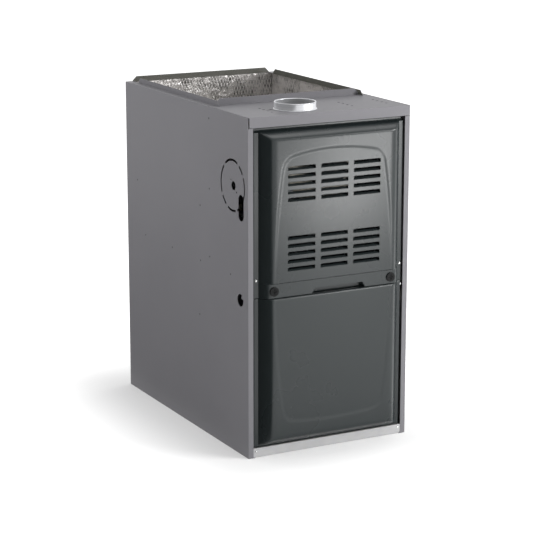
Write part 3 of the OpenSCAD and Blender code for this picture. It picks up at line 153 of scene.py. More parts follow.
def smooth_map(tree: NodeTree, value: NodeSocket, start: float, end: float,
               low: float = 0.0, high: float = 1.0) -> NodeSocket:
    """Go smoothly from one level to another as a value goes from its start to its end.

    Args:
        tree: Node tree that takes the node.
        value: The value to follow.
        start: Value up to which the level is low.
        end: Value from which on the level is high.
        low: First level.
        high: Last level.

    Returns:
        Socket with the level.
    """
    return add_node(tree, "ShaderNodeMapRange", {"interpolation_type": "SMOOTHSTEP"}, {
        "Value": value, "From Min": start, "From Max": end, "To Min": low, "To Max": high}).outputs["Result"]


def blank_tree(owner: Material | World) -> NodeTree:
    """Switch a material or a world to nodes and return its tree, emptied."""
    owner.use_nodes = True
    owner.node_tree.nodes.clear()
    return owner.node_tree


# ---- Finishes ----

@dataclass(frozen=True)
class Surface:
    """A material's node tree, its surface shader and the place on the object, in metres."""

    tree: NodeTree
    shader: ShaderNode
    place: NodeSocket

    def noise(self, size_mm: float, detail: float = 2.0, roughness: float = 0.5) -> NodeSocket:
        """Add a cloudy pattern.

        Args:
            size_mm: Size of the clouds.
            detail: How many finer layers are laid over them.
            roughness: How strong the finer layers are.

        Returns:
            Socket with the pattern, from 0 to 1.
        """
        return add_node(self.tree, "ShaderNodeTexNoise", inputs={
            "Vector": self.place, "Scale": 1 / (size_mm * MM), "Detail": detail,
            "Roughness": roughness}).outputs["Fac"]

    def cells(self, size_mm: float, output: str, feature: str = "F1") -> NodeSocket:
        """Add a net of irregular cells.

        Args:
            size_mm: Size of a cell.
            output: Name of the output to return.
            feature: What the pattern measures.

        Returns:
            The output's socket.
        """
        return add_node(self.tree, "ShaderNodeTexVoronoi", {"feature": feature}, {
            "Vector": self.place, "Scale": 1 / (size_mm * MM)}).outputs[output]

    def tint(self, factor: NodeSocket, low: tuple, high: tuple) -> None:
        """Colour the surface between two colours.

        Args:
            factor: Pattern that picks the colour, from 0 to 1.
            low: Colour at 0.
            high: Colour at 1.
        """
        mix = add_node(self.tree, "ShaderNodeMix", {"data_type": "RGBA"}, {0: factor, 6: low, 7: high})
        self.tree.links.new(mix.outputs[2], self.shader.inputs["Base Color"])

    def relief(self, height: NodeSocket, depth_mm: float) -> None:
        """Raise and lower the surface by a pattern.

        Args:
            height: Pattern of heights, from 0 to 1.
            depth_mm: Height difference that 0 to 1 stands for.
        """
        bump = add_node(self.tree, "ShaderNodeBump", inputs={
            "Strength": 1.0, "Distance": depth_mm * MM, "Height": height})
        self.tree.links.new(bump.outputs["Normal"], self.shader.inputs["Normal"])

    def sheen(self, factor: NodeSocket, middle: float, spread: float) -> None:
        """Let the roughness vary.

        Args:
            factor: Pattern that picks the roughness, from 0 to 1.
            middle: Roughness that it varies round.
            spread: How far it goes either way.
        """
        span = add_node(self.tree, "ShaderNodeMapRange", inputs={
            "Value": factor, "To Min": middle - spread, "To Max": middle + spread})
        self.tree.links.new(span.outputs["Result"], self.shader.inputs["Roughness"])


@dataclass(frozen=True)
class Finish:
    """What every finish has: its name, its colour and how the surface answers light."""

    name: str
    colour: str
    roughness: float
    metallic: float = 0.0
    ior: float = 1.5
    specular: float = 0.5

    def material(self) -> Material:
        """Return the finish's material, which is built on the first call."""
        known = bpy.data.materials.get(self.name)
        if known:
            return known
        made = bpy.data.materials.new(self.name)
        tree = blank_tree(made)
        place = add_node(tree, "ShaderNodeTexCoord").outputs["Object"]
        shader = add_node(tree, "ShaderNodeBsdfPrincipled", inputs={
            "Base Color": linear(self.colour), "Roughness": self.roughness,
            "Metallic": self.metallic, "IOR": self.ior, "Specular IOR Level": self.specular})
        add_node(tree, "ShaderNodeOutputMaterial", inputs={"Surface": shader.outputs["BSDF"]})
        self.pattern(Surface(tree, shader, place))
        return made

    def pattern(self, surface: Surface) -> None:
        """Add the colour pattern and relief of this finish.

        Args:
            surface: The material's surface.
        """

    def two_tone(self, surface: Surface, factor: NodeSocket, spread: float) -> None:
        """Let the colour drift between a darker and a lighter shade of itself.

        Args:
            surface: The material's surface.
            factor: Pattern that picks the shade, from 0 to 1.
            spread: How far the light goes either way, as a share of 1.
        """
        surface.tint(factor, lit(self.colour, 1 - spread), lit(self.colour, 1 + spread))


@dataclass(frozen=True)
class PrepaintedSteel(Finish):
    """Coil-coated sheet: an even satin film with faint roller mottle and orange peel."""

    mottle_mm: float = 160.0
    peel_mm: float = 4.0
    peel_depth_mm: float = 0.008
    shade: float = 0.05
    sheen: float = 0.04

    def pattern(self, surface: Surface) -> None:
        """Mottle as broad as a hand, peel drawn at 4 mm because the real 1 mm is too fine to show."""
        mottle = surface.noise(self.mottle_mm, 4.0, 0.6)
        self.two_tone(surface, mottle, self.shade)
        surface.sheen(mottle, self.roughness, self.sheen)
        surface.relief(surface.noise(self.peel_mm, 1.0), self.peel_depth_mm)


@dataclass(frozen=True)
class GalvanisedSteel(Finish):
    """Hot-dip zinc on sheet: flat frosted crystals, each with its own shade and gloss."""

    spangle_mm: float = 9.0
    shade: float = 0.12
    sheen: float = 0.07

    def pattern(self, surface: Surface) -> None:
        """Spangle cells that differ in shade and in gloss."""
        spangle = surface.cells(self.spangle_mm, "Color")
        self.two_tone(surface, spangle, self.shade)
        surface.sheen(spangle, self.roughness, self.sheen)


@dataclass(frozen=True)
class SpunSteel(Finish):
    """Bright sheet worked on a lathe: fine rings run round the axis and draw the light out."""

    ring_mm: float = 1.2
    ring_depth_mm: float = 0.012
    smudges_per_m: float = 45.0
    shade: float = 0.08
    sheen: float = 0.06

    def pattern(self, surface: Surface) -> None:
        """Rings drawn at 1.2 mm, coarser than real tool marks, so that they show."""
        height = add_node(surface.tree, "ShaderNodeSeparateXYZ", inputs={"Vector": surface.place})
        rings = add_node(surface.tree, "ShaderNodeTexNoise", {"noise_dimensions": "1D"}, {
            "W": height.outputs["Z"], "Scale": 1 / (self.ring_mm * MM), "Detail": 2.0}).outputs["Fac"]
        surface.relief(rings, self.ring_depth_mm)
        surface.sheen(rings, self.roughness, self.sheen)
        self.two_tone(surface, surface.noise(1 / (self.smudges_per_m * MM)), self.shade)


@dataclass(frozen=True)
class FoilScrim(Finish):
    """Aluminium foil on glass wool: a net of threads shows through and the foil creases."""

    thread_mm: float = 9.0
    lean: float = 0.36
    crease_mm: float = 16.0
    patch_mm: float = 70.0
    # Colour of the painted shade in the sunk hollows between the threads.
    hollow: str = "#6a6866"
    depth_mm: float = 1.6
    sunk_span: tuple[float, float] = (0.12, 0.6)
    shade_patch_span: tuple[float, float] = (0.42, 0.62)
    sheen: float = 0.1

    def pattern(self, surface: Surface) -> None:
        """Threads cross as tall diamonds 9 mm wide. In patches the foil sinks between them and is darkened
        there with painted shade.
        """
        tree = surface.tree
        split = add_node(tree, "ShaderNodeSeparateXYZ", inputs={"Vector": surface.place}).outputs
        along = math_node(tree, "ADD", split["X"], split["Y"])
        threads = []
        for side in (1, -1):
            across = math_node(tree, "MULTIPLY_ADD", split["Z"], self.lean * side, along)
            turns = math_node(tree, "MULTIPLY", across, math.pi / (self.thread_mm * MM))
            threads.append(math_node(tree, "ABSOLUTE", math_node(tree, "SINE", turns)))
        net = math_node(tree, "MINIMUM", *threads)
        sunk = smooth_map(tree, net, *self.sunk_span)
        crease = surface.cells(self.crease_mm, "Distance", "DISTANCE_TO_EDGE")
        surface.relief(math_node(tree, "MULTIPLY_ADD", sunk, -1.0, crease), self.depth_mm)
        patch = surface.noise(self.patch_mm, 6.0, 0.75)
        # Painted shade: in patches, the sunk hollows are darkened towards the hollow colour.
        dull = math_node(tree, "MULTIPLY", smooth_map(tree, patch, *self.shade_patch_span), sunk)
        surface.tint(dull, linear(self.colour), linear(self.hollow))
        surface.sheen(patch, self.roughness, self.sheen)


@dataclass(frozen=True)
class Grained(Finish):
    """A finish whose surface is an even grain: moulded plastic, rubber, castings and ceramic."""

    grain_mm: float = 1.5
    grain_depth_mm: float = 0.01
    shade: float = 0.06

    def pattern(self, surface: Surface) -> None:
        """Grain in the relief, and the same grain very faintly in the colour."""
        grain = surface.noise(self.grain_mm, 3.0)
        surface.relief(grain, self.grain_depth_mm)
        self.two_tone(surface, grain, self.shade)


@dataclass(frozen=True)
class HeatedSteel(Finish):
    """Aluminised sheet that has been hot: dull, with clouds of straw and grey."""

    cloud_mm: float = 45.0
    warm: str = "#a89f8e"
    sheen: float = 0.1

    def pattern(self, surface: Surface) -> None:
        """Clouds blend the cool sheet with its straw-coloured heat tint."""
        cloud = surface.noise(self.cloud_mm, 4.0)
        surface.tint(cloud, linear(self.colour), linear(self.warm))
        surface.sheen(cloud, self.roughness, self.sheen)


@dataclass(frozen=True)
class BoardLaminate(Finish):
    """Glass-epoxy board under green solder resist, with copper tracks as lighter lines."""

    cell_mm: float = 12.0
    track_share: float = 0.12
    track_height_mm: float = 0.04
    copper: str = "#5f9a6c"

    def pattern(self, surface: Surface) -> None:
        """Tracks follow the edges of an irregular net, as routed copper does."""
        edge = add_node(surface.tree, "ShaderNodeMapRange", inputs={
            "Value": surface.cells(self.cell_mm, "Distance", "DISTANCE_TO_EDGE"),
            "From Max": self.track_share, "To Min": 1.0, "To Max": 0.0}).outputs["Result"]
        surface.tint(edge, linear(self.colour), linear(self.copper))
        surface.relief(edge, self.track_height_mm)


CASING_PAINT = PrepaintedSteel("Prepainted steel, mid grey", "#7e7d81", 0.46, specular=0.2)
# The sheet's reverse coat, made darker to paint the shade on the upstand flanges.
REVERSE_COAT_AND_SHADE = PrepaintedSteel("Prepainted steel, reverse coat with painted shade", "#56564f", 0.5)
# Painted shade for the small sunk dimples on the side panels.
DIMPLE_SHADE = PrepaintedSteel("Prepainted steel, painted dimple shade", "#46474b", 0.6)
DOOR_PAINT = PrepaintedSteel("Prepainted steel, charcoal", "#23292a", 0.28, specular=0.42, mottle_mm=220.0)
# Zinc's own grey, taken darker as painted shade for the parts inside the cabinet.
ZINC_SHEET = GalvanisedSteel("Hot-dip galvanised sheet", "#8f9193", 0.42, metallic=0.85)
BRIGHT_STRIP = SpunSteel("Galvanised strip, rolled smooth", "#bdbdbe", 0.42, metallic=0.3, ring_mm=6.0)
BRIGHT_SPUN = SpunSteel("Spun steel, bright", "#e4e5e8", 0.3, metallic=0.6)
FOIL = FoilScrim("Foil facing with scrim", "#f3efed", 0.36, metallic=0.7)
# Aluminised steel's own tone, taken darker as painted shade for the parts inside the cabinet.
ALUMINISED = HeatedSteel("Aluminised steel, heated", "#8a8c8c", 0.46, metallic=0.9)
BLACK_PIPE = Grained("Lacquered black pipe", "#2a2b2d", 0.4, grain_mm=3.0, grain_depth_mm=0.03)
BRASS = Grained("Turned brass", "#b99a4b", 0.3, metallic=1.0, grain_mm=0.8)
DIE_CAST = Grained("Die-cast aluminium, blasted", "#9b9da0", 0.5, metallic=0.9, grain_mm=1.6,
                   grain_depth_mm=0.03)
MOTOR_ENAMEL = Grained("Baked enamel, black", "#2c2e31", 0.38, grain_mm=4.0, grain_depth_mm=0.01)
GROUND_STEEL = SpunSteel("Ground steel bar", "#c2c4c7", 0.22, metallic=1.0)
ZINC_PLATE = Grained("Zinc plate, bright", "#dcdddc", 0.25, metallic=1.0, grain_mm=1.0)
KNOB_NYLON = Grained("Moulded nylon, black", "#0d0e0f", 0.5, specular=0.15, grain_mm=1.2,
                    grain_depth_mm=0.015)
WHITE_NYLON = Grained("Moulded nylon, off-white", "#e0ddd2", 0.35, ior=1.53, grain_mm=1.2)
RED_NYLON = Grained("Moulded nylon, red", "#b8322b", 0.32, ior=1.53, grain_mm=1.2)
BOARD = BoardLaminate("Glass-epoxy board", "#255a3d", 0.36)
BLACK_RUBBER = Grained("Black rubber and braid", "#1b1c1d", 0.72, ior=1.52, grain_mm=1.0,
                       grain_depth_mm=0.05)
STEATITE = Grained("Unglazed steatite", "#d8d2c4", 0.75, ior=1.6, grain_mm=0.8, shade=0.1)


# ---- Mesh helpers ----

def new_object(name: str, vertices: Sequence, faces: Sequence, finish: Finish,
               smooth_angle: float = SMOOTH_ANGLE) -> Object:
    """Make an object from vertices and faces and give it a finish.

    Args:
        name: Name of the piece.
        vertices: Points in metres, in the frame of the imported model.
        faces: Vertex numbers of each face, outward side anticlockwise.
        finish: Finish of the whole piece.
        smooth_angle: Edges that bend more than this stay sharp.

    Returns:
        The object, linked to the scene.
    """
    mesh = bpy.data.meshes.new(name)
    mesh.from_pydata([tuple(v) for v in vertices], [], [tuple(f) for f in faces])
    mesh.validate()
    mesh.shade_smooth()
    mesh.set_sharp_from_angle(angle=smooth_angle)
    mesh.materials.append(finish.material())
    made = bpy.data.objects.new(name, mesh)
    bpy.context.scene.collection.objects.link(made)
    return made


def stand_for(piece: Object, *nodes: str) -> Object:
    """Let a piece ride on the body of the nodes that it stands for, and hide those nodes.

    Args:
        piece: The modelled piece.
        nodes: CAD nodes that it replaces, all on one body.

    Returns:
        The same piece.
    """
    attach(piece, BODY_OF[nodes[0]])
    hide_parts(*nodes)
    LOG.info("%s: %d vertices, for %s", piece.name, len(piece.data.vertices), ", ".join(nodes))
    return piece


def dress(node: str, finish: Finish) -> None:
    """Give a CAD node that keeps its shape a finish.

    Args:
        node: Name of the CAD node.
        finish: Finish for all its material slots.
    """
    for slot in frame["nodes"][node].material_slots:
        slot.material = finish.material()
    LOG.info("%s: %s", node, finish.name)


def eased(node: str, finish: Finish, ease_mm: float) -> Object:
    """Rebuild a CAD node with its edges rounded, as folded, cast or moulded edges are.

    Args:
        node: Name of the CAD node.
        finish: Finish of the piece.
        ease_mm: Radius of the rounded edges.

    Returns:
        The new piece, which stands for the node.
    """
    shape = bmesh.new()
    shape.from_mesh(frame["nodes"][node].data)
    bmesh.ops.remove_doubles(shape, verts=shape.verts, dist=WELD)
    bmesh.ops.dissolve_limit(shape, angle_limit=FLAT_ANGLE, verts=shape.verts, edges=shape.edges)
    shape.verts.index_update()
    vertices = [v.co.copy() for v in shape.verts]
    faces = [[v.index for v in f.verts] for f in shape.faces]
    shape.free()
    made = new_object(node + "_eased", vertices, faces, finish)
    bevel = made.modifiers.new("eased edges", "BEVEL")
    bevel.width = ease_mm * MM
    bevel.segments = EASE_STEPS
    bevel.limit_method = "ANGLE"
    bevel.angle_limit = SMOOTH_ANGLE
    bevel.use_clamp_overlap = True
    bevel.harden_normals = True
    return stand_for(made, node)


def lathe(outline: Sequence[tuple[float, float]], centre: Vector, steps: int) -> tuple[list, list]:
    """Turn a closed outline about a vertical axis.

    Args:
        outline: (radius, height) points in millimetres, anticlockwise with the radius to the right.
        centre: Where the axis meets height zero, in metres.
        steps: Number of sides.

    Returns:
        Vertices and faces.
    """
    vertices = []
    for k in range(steps):
        turn = 2 * math.pi * k / steps
        for radius, height in outline:
            vertices.append(centre + Vector((radius * math.cos(turn), radius * math.sin(turn), height)) * MM)
    n = len(outline)
    faces = [(k * n + i, (k + 1) % steps * n + i, (k + 1) % steps * n + (i + 1) % n, k * n + (i + 1) % n)
             for k in range(steps) for i in range(n)]
    return vertices, faces


def arc(centre: tuple[float, float], radius: float, start: float, end: float, steps: int) -> list:
    """Points along an arc of an outline.

    Args:
        centre: Centre of the arc.
        radius: Radius of the arc.
        start: First angle in degrees.
        end: Last angle in degrees.
        steps: Number of chords.

    Returns:
        The arc's points in order.
    """
    angles = [math.radians(start + (end - start) * k / steps) for k in range(steps + 1)]
    return [(centre[0] + radius * math.cos(a), centre[1] + radius * math.sin(a)) for a in angles]


def bowed_ramp(run: np.ndarray, width: float, height: float, bulge: float, brow: float) -> np.ndarray:
    """Climb from nothing to a height on a slope that bows outwards and ends in a soft brow.

    Args:
        run: Distance along the slope, from its foot.
        width: Width of the slope.
        height: Height at its top.
        bulge: How much steeper the foot is than the middle, as a share of 1.
        brow: How far the rounding at the brow reaches, in height.

    Returns:
        Height at each distance.
    """
    share = np.maximum(run / width, 0)
    bowed = np.where(share < 1, share * (1 + bulge - bulge * share), 1 + (1 - bulge) * (share - 1))
    return np.maximum(soft_min(height * bowed, np.full_like(run, height), brow), 0)


def soft_min(a: np.ndarray, b: np.ndarray, blend: float) -> np.ndarray:
    """Take the smaller of two heights, rounding the line where they meet.

    Args:
        a: First height.
        b: Second height.
        blend: How far from the meeting line the rounding reaches.

    Returns:
        The blended height.
    """
    near = np.clip(1 - np.abs(a - b) / blend, 0, 1)
    return np.minimum(a, b) - near ** 2 * blend / 4


def soft_step(t: np.ndarray) -> np.ndarray:
    """Rise smoothly from 0 to 1 as t does."""
    t = np.clip(t, 0, 1)
    return t * t * (3 - 2 * t)


def grid_lines(low: float, high: float, pitch: float, marks: Sequence[float]) -> np.ndarray:
    """Lay out grid lines at an even pitch and put marked lines in.

    Args:
        low: First line.
        high: Last line.
        pitch: Distance between the even lines.
        marks: Lines that have to be there.

    Returns:
        All lines in order.
    """
    even = np.linspace(low, high, max(2, round((high - low) / pitch) + 1))
    kept = np.array(sorted(m for m in marks if low < m < high))
    if len(kept):
        clear = np.abs(even[:, None] - kept[None, :]).min(axis=1) > KEEP_CLEAR * pitch
        clear[[0, -1]] = True
        even = even[clear]
    return np.unique(np.concatenate([even, kept]))


# ---- Doors ----

@dataclass(frozen=True)
class Barrel:
    """Outline of the shallow panel that both doors share, with bowed sides, an arch and a belly."""

    top_z: float = 761.0
    foot_z: float = 76.0
    half_width: float = 169.0
    end_half_width: float = 138.0
    arch: float = 18.0
    belly: float = 9.0
    depth: float = 1.2
    step_width: float = 11.0
    corner_blend: float = 26.0

    @staticmethod
    def radius(half_chord: float, rise: float) -> float:
        """Radius of an arc from half its chord and its rise."""
        return (half_chord ** 2 + rise ** 2) / (2 * rise)

    def inside(self, x: np.ndarray, z: np.ndarray) -> np.ndarray:
        """Share of the panel's depth at each point.

        Args:
            x: Distance from the middle.
            z: Height above the floor.

        Returns:
            1 well inside the outline, 0 outside and between on the step.
        """
        mid_z = (self.top_z + self.foot_z) / 2
        side_r = self.radius((self.top_z - self.foot_z) / 2, self.half_width - self.end_half_width)
        top_r = self.radius(self.end_half_width, self.arch)
        foot_r = self.radius(self.end_half_width, self.belly)
        side = side_r - np.hypot(np.abs(x) - self.half_width + side_r, z - mid_z)
        top = top_r - np.hypot(x, z - self.top_z + top_r)
        foot = foot_r - np.hypot(x, z - self.foot_z - foot_r)
        reach = soft_min(soft_min(side, top, self.corner_blend), foot, self.corner_blend)
        return soft_step(reach / self.step_width)


@dataclass(frozen=True)
class Louvres:
    """Louvres in columns and rows: each vane slopes in from its lower edge to an open top."""

    width: float = 75.0
    height: float = 9.6
    depth: float = 7.0
    vane_share: float = 0.5
    column_pitch: float = 90.0
    columns: int = 3
    row_pitch: float = 19.0
    rows: int = 5
    first_z: float = 464.0
    group_rise: float = 169.0
    groups: int = 2
    end_wall: float = 0.35
    corner_shares: tuple[float, ...] = (0.2, 0.45, 0.7, 1.0)
    lip: float = 0.6
    brim: float = 0.8

    def row_heights(self) -> list[float]:
        """Height of each row's lower edge."""
        return [self.first_z + g * self.group_rise + r * self.row_pitch
                for g in range(self.groups) for r in range(self.rows)]

    def column_centres(self) -> list[float]:
        """Distance of each column's centre from the middle."""
        return [(c - (self.columns - 1) / 2) * self.column_pitch for c in range(self.columns)]

    def x_marks(self) -> list[float]:
        """Grid lines at the ends of each louvre, closer together where its corner is round."""
        half = self.width / 2
        ends = [half, half - self.end_wall] + [half - self.height / 2 * s for s in self.corner_shares]
        return [c + s * e for c in self.column_centres() for s in (-1, 1) for e in ends]

    def z_marks(self) -> list[float]:
        """Grid lines along each louvre's lower edge, vane, tip and upper edge."""
        tip = self.vane_share * self.height
        offsets = [-self.lip, 0, self.lip, tip / 3, 2 * tip / 3, tip, self.height, self.height + self.brim]
        return [z + offset for z in self.row_heights() for offset in offsets]

    def shape(self, x: np.ndarray, z: np.ndarray) -> tuple[np.ndarray, np.ndarray]:
        """Press the louvres into a grid.

        Args:
            x: Distance of each grid point from the middle.
            z: Height of each grid point.

        Returns:
            The heights with the round corners drawn in, and how deep each point is pressed.
        """
        moved, pressed = z.copy(), np.zeros_like(z)
        corner = self.height / 2
        for centre in self.column_centres():
            from_end = self.width / 2 - np.abs(x - centre)
            inner = from_end > self.end_wall / 2
            run = np.clip(corner - from_end, 0, corner)
            drop = corner - np.sqrt(np.maximum(corner ** 2 - run ** 2, 0))
            for low in self.row_heights():
                share = (z - low) / self.height
                here = inner & (share > -1e-6) & (share < 1 + 1e-6)
                moved[here] -= (share * drop)[here]
                vane = here & (share < 1 - 1e-3)
                pressed[vane] = (self.depth * np.clip(share / self.vane_share, 0, 1))[vane]
        return moved, pressed

    def open_cells(self, x: np.ndarray, z: np.ndarray) -> np.ndarray:
        """Find the grid cells between a vane's tip and the upper edge.

        Args:
            x: Middle of each cell, across.
            z: Middle of each cell, in height.

        Returns:
            True where the cell is open.
        """
        gap = np.zeros(x.shape, bool)
        for centre in self.column_centres():
            across = np.abs(x - centre) < self.width / 2 - self.end_wall
            for low in self.row_heights():
                share = (z - low) / self.height
                gap |= across & (share > self.vane_share) & (share < 1)
        return gap


@dataclass(frozen=True)
class FingerPull:
    """Hollow in the upper door's lower edge that fingers reach into."""

    centre_x: float = 15.0
    mouth_half: float = 74.0
    left_draw: float = 12.0
    right_draw: float = 8.0
    height: float = 14.0
    depth: float = 16.0
    wall: float = 1.6

    def inside(self, x: np.ndarray, z: np.ndarray, foot: float) -> np.ndarray:
        """Share of the hollow's depth at each point.

        Args:
            x: Distance from the middle.
            z: Height above the floor.
            foot: Height of the door's lower edge.

        Returns:
            1 in the hollow, 0 outside and between on its walls.
        """
        rise = np.clip((z - foot) / self.height, 0, 1)
        left = x - self.centre_x + self.mouth_half - self.left_draw * rise
        right = self.mouth_half - self.right_draw * rise - x + self.centre_x
        top = foot + self.height - z
        reach = soft_min(soft_min(left, right, self.wall), top, self.wall)
        return soft_step(reach / self.wall)


@dataclass
class PressedDoor:
    """A door pressed from one sheet: flange, slope and raised face, with folded edges."""

    node: str
    pitch: float = 2.5
    pan_half: float = 194.0
    flange_y: float = 3.0
    back_y: float = 19.7
    slope_w: float = 28.7
    face_height: float = 27.0
    bulge: float = 0.5
    brow: float = 5.0
    corner_brow: float = 2.5
    fold_r: float = 1.6
    fold_turns: tuple[float, ...] = (30, 60, 90)
    sheet: float = 0.9
    barrel: Barrel = field(default_factory=Barrel)
    left_x: float = field(init=False)
    right_x: float = field(init=False)
    foot_z: float = field(init=False)
    top_z: float = field(init=False)

    def __post_init__(self) -> None:
        """Take the edges of the sheet from the CAD node."""
        low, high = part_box(self.node)
        self.left_x, self.right_x = low.x / MM, high.x / MM
        self.foot_z, self.top_z = low.z / MM, high.z / MM

    def slope(self, run: np.ndarray, width: float, height: float) -> np.ndarray:
        """Height that a slope with this door's bow allows at each distance from its foot."""
        return bowed_ramp(run, width, height, self.bulge, self.brow)

    def raised(self, x: np.ndarray, z: np.ndarray, end: np.ndarray) -> np.ndarray:
        """Find the face between the side slopes and the slope at one end, with the panel in it.

        Args:
            x: Distance from the middle.
            z: Height above the floor.
            end: Height that the slope at the end allows.

        Returns:
            Height at each point.
        """
        side = self.slope(self.pan_half - np.abs(x), self.slope_w, self.face_height)
        return soft_min(side, end, self.corner_brow) - self.barrel.depth * self.barrel.inside(x, z)

    def marks(self) -> tuple[list[float], list[float]]:
        """Grid lines that this door needs, across and in height."""
        return [], []

    def height(self, x: np.ndarray, z: np.ndarray) -> np.ndarray:
        """Height of the pressing above the flange.

        Args:
            x: Distance from the middle.
            z: Height above the floor.

        Returns:
            Height at each point.
        """
        raise NotImplementedError

    def press(self, x: np.ndarray, z: np.ndarray) -> tuple[np.ndarray, np.ndarray, np.ndarray]:
        """Shape the grid: heights, pressed depth, and which cells are open.

        Args:
            x: Grid points, across.
            z: Grid points, in height.

        Returns:
            The moved heights, the depth pressed in, and the open cells.
        """
        return z, np.zeros_like(z), np.zeros((x.shape[0] - 1, x.shape[1] - 1), bool)

    def build(self) -> Object:
        """Build the door's mesh and let it stand for its CAD node."""
        x_marks, z_marks = self.marks()
        xs = grid_lines(self.left_x + self.fold_r, self.right_x - self.fold_r, self.pitch, x_marks)
        zs = grid_lines(self.foot_z + self.fold_r, self.top_z - self.fold_r, self.pitch, z_marks)
        x, z = np.meshgrid(xs, zs, indexing="ij")
        moved, pressed, gaps = self.press(x, z)
        y = self.flange_y - self.height(x, moved) + pressed
        points = np.stack([x, y, moved], axis=-1).reshape(-1, 3)
        columns, rows = x.shape
        number = np.arange(columns * rows).reshape(columns, rows)
        faces = [(number[i, j], number[i + 1, j], number[i + 1, j + 1], number[i, j + 1])
                 for i in range(columns - 1) for j in range(rows - 1) if not gaps[i, j]]
        loop = ([(i, 0) for i in range(columns)] + [(columns - 1, j) for j in range(1, rows)]
                + [(i, rows - 1) for i in range(columns - 2, -1, -1)]
                + [(0, j) for j in range(rows - 2, 0, -1)])
        outward = np.array([((i == columns - 1) - (i == 0), (j == rows - 1) - (j == 0)) for i, j in loop])
        edge = points[[number[i, j] for i, j in loop]]
        rings = []
        for turn in np.radians(self.fold_turns):
            ring = edge.copy()
            ring[:, [0, 2]] += outward * self.fold_r * math.sin(turn)
            ring[:, 1] += self.fold_r * (1 - math.cos(turn))
            rings.append(ring)
        back = rings[-1].copy()
        back[:, 1] = self.back_y
        rings.append(back)
        inner = [int(number[i, j]) for i, j in loop]
        for k, ring in enumerate(rings):
            outer = [columns * rows + k * len(loop) + n for n in range(len(loop))]
            for a in range(len(loop)):
                b = (a + 1) % len(loop)
                faces.append((inner[a], outer[a], outer[b], inner[b]))
            inner = outer
        points = np.concatenate([points, *rings])
        used = np.unique(np.array(faces))
        renumber = {int(old): new for new, old in enumerate(used)}
        vertices = points[used] * MM + np.array([0, FRONT_Y, 0])
        faces = [[renumber[int(v)] for v in f] for f in faces]
        made = new_object(self.node + "_pressing", vertices, faces, DOOR_PAINT)
        shell = made.modifiers.new("sheet", "SOLIDIFY")
        shell.thickness = self.sheet * MM
        shell.offset = -1
        return stand_for(made, self.node)


@dataclass
class UpperDoor(PressedDoor):
    """Louvred door with a sunk strip along its top and a set-back band with a finger pull at its foot."""

    top_margin: float = 9.0
    margin_sink: float = 8.0
    top_slope: float = 18.0
    top_bulge: float = 0.25
    top_brow: float = 3.0
    band_height: float = 36.0
    band_back: float = 6.0
    band_slope: float = 18.5
    crease: float = 2.6
    crease_lines: tuple[float, ...] = (-1.3, -0.4, 0.4, 1.3)
    pull_lines: tuple[float, ...] = (0, 0.7, 1.5, 2.2)
    louvres: Louvres = field(default_factory=Louvres)
    pull: FingerPull = field(default_factory=FingerPull)

    def marks(self) -> tuple[list[float], list[float]]:
        """Lines for the louvres, the crease over the band and the finger pull."""
        crease_z = self.foot_z + self.band_height
        extra = [crease_z + s for s in self.crease_lines]
        pull_z = [self.foot_z + self.pull.height - s for s in self.pull_lines]
        return self.louvres.x_marks(), self.louvres.z_marks() + extra + pull_z

    def height(self, x: np.ndarray, z: np.ndarray) -> np.ndarray:
        """Raised face over the band, both drawn down to the flange at the sides."""
        top = bowed_ramp(self.top_z - self.top_margin - z, self.top_slope, self.face_height,
                         self.top_bulge, self.top_brow)
        face = self.raised(x, z, top)
        band = self.slope(self.pan_half - np.abs(x), self.band_slope, self.face_height - self.band_back)
        band = band - self.pull.depth * self.pull.inside(x, z, self.foot_z)
        over = soft_step((z - self.foot_z - self.band_height) / self.crease + 0.5)
        sunk = self.margin_sink * soft_step((z - self.top_z + self.top_margin) / self.crease + 0.5)
        return band + (np.maximum(face, 0) - band) * over - sunk

    def press(self, x: np.ndarray, z: np.ndarray) -> tuple[np.ndarray, np.ndarray, np.ndarray]:
        """Press the louvres."""
        moved, pressed = self.louvres.shape(x, z)
        mid_x = (x[:-1, :-1] + x[1:, 1:]) / 2
        mid_z = (z[:-1, :-1] + z[1:, 1:]) / 2
        return moved, pressed, self.louvres.open_cells(mid_x, mid_z)


@dataclass
class LowerDoor(PressedDoor):
    """Plain door whose face slopes down to the flange at its sides and foot."""

    foot_margin: float = 2.0
    foot_slope: float = 20.0

    def height(self, x: np.ndarray, z: np.ndarray) -> np.ndarray:
        """Raised face, drawn down to the flange at the sides and the foot."""
        foot = self.slope(z - self.foot_z - self.foot_margin, self.foot_slope, self.face_height)
        return np.maximum(self.raised(x, z, foot), 0)


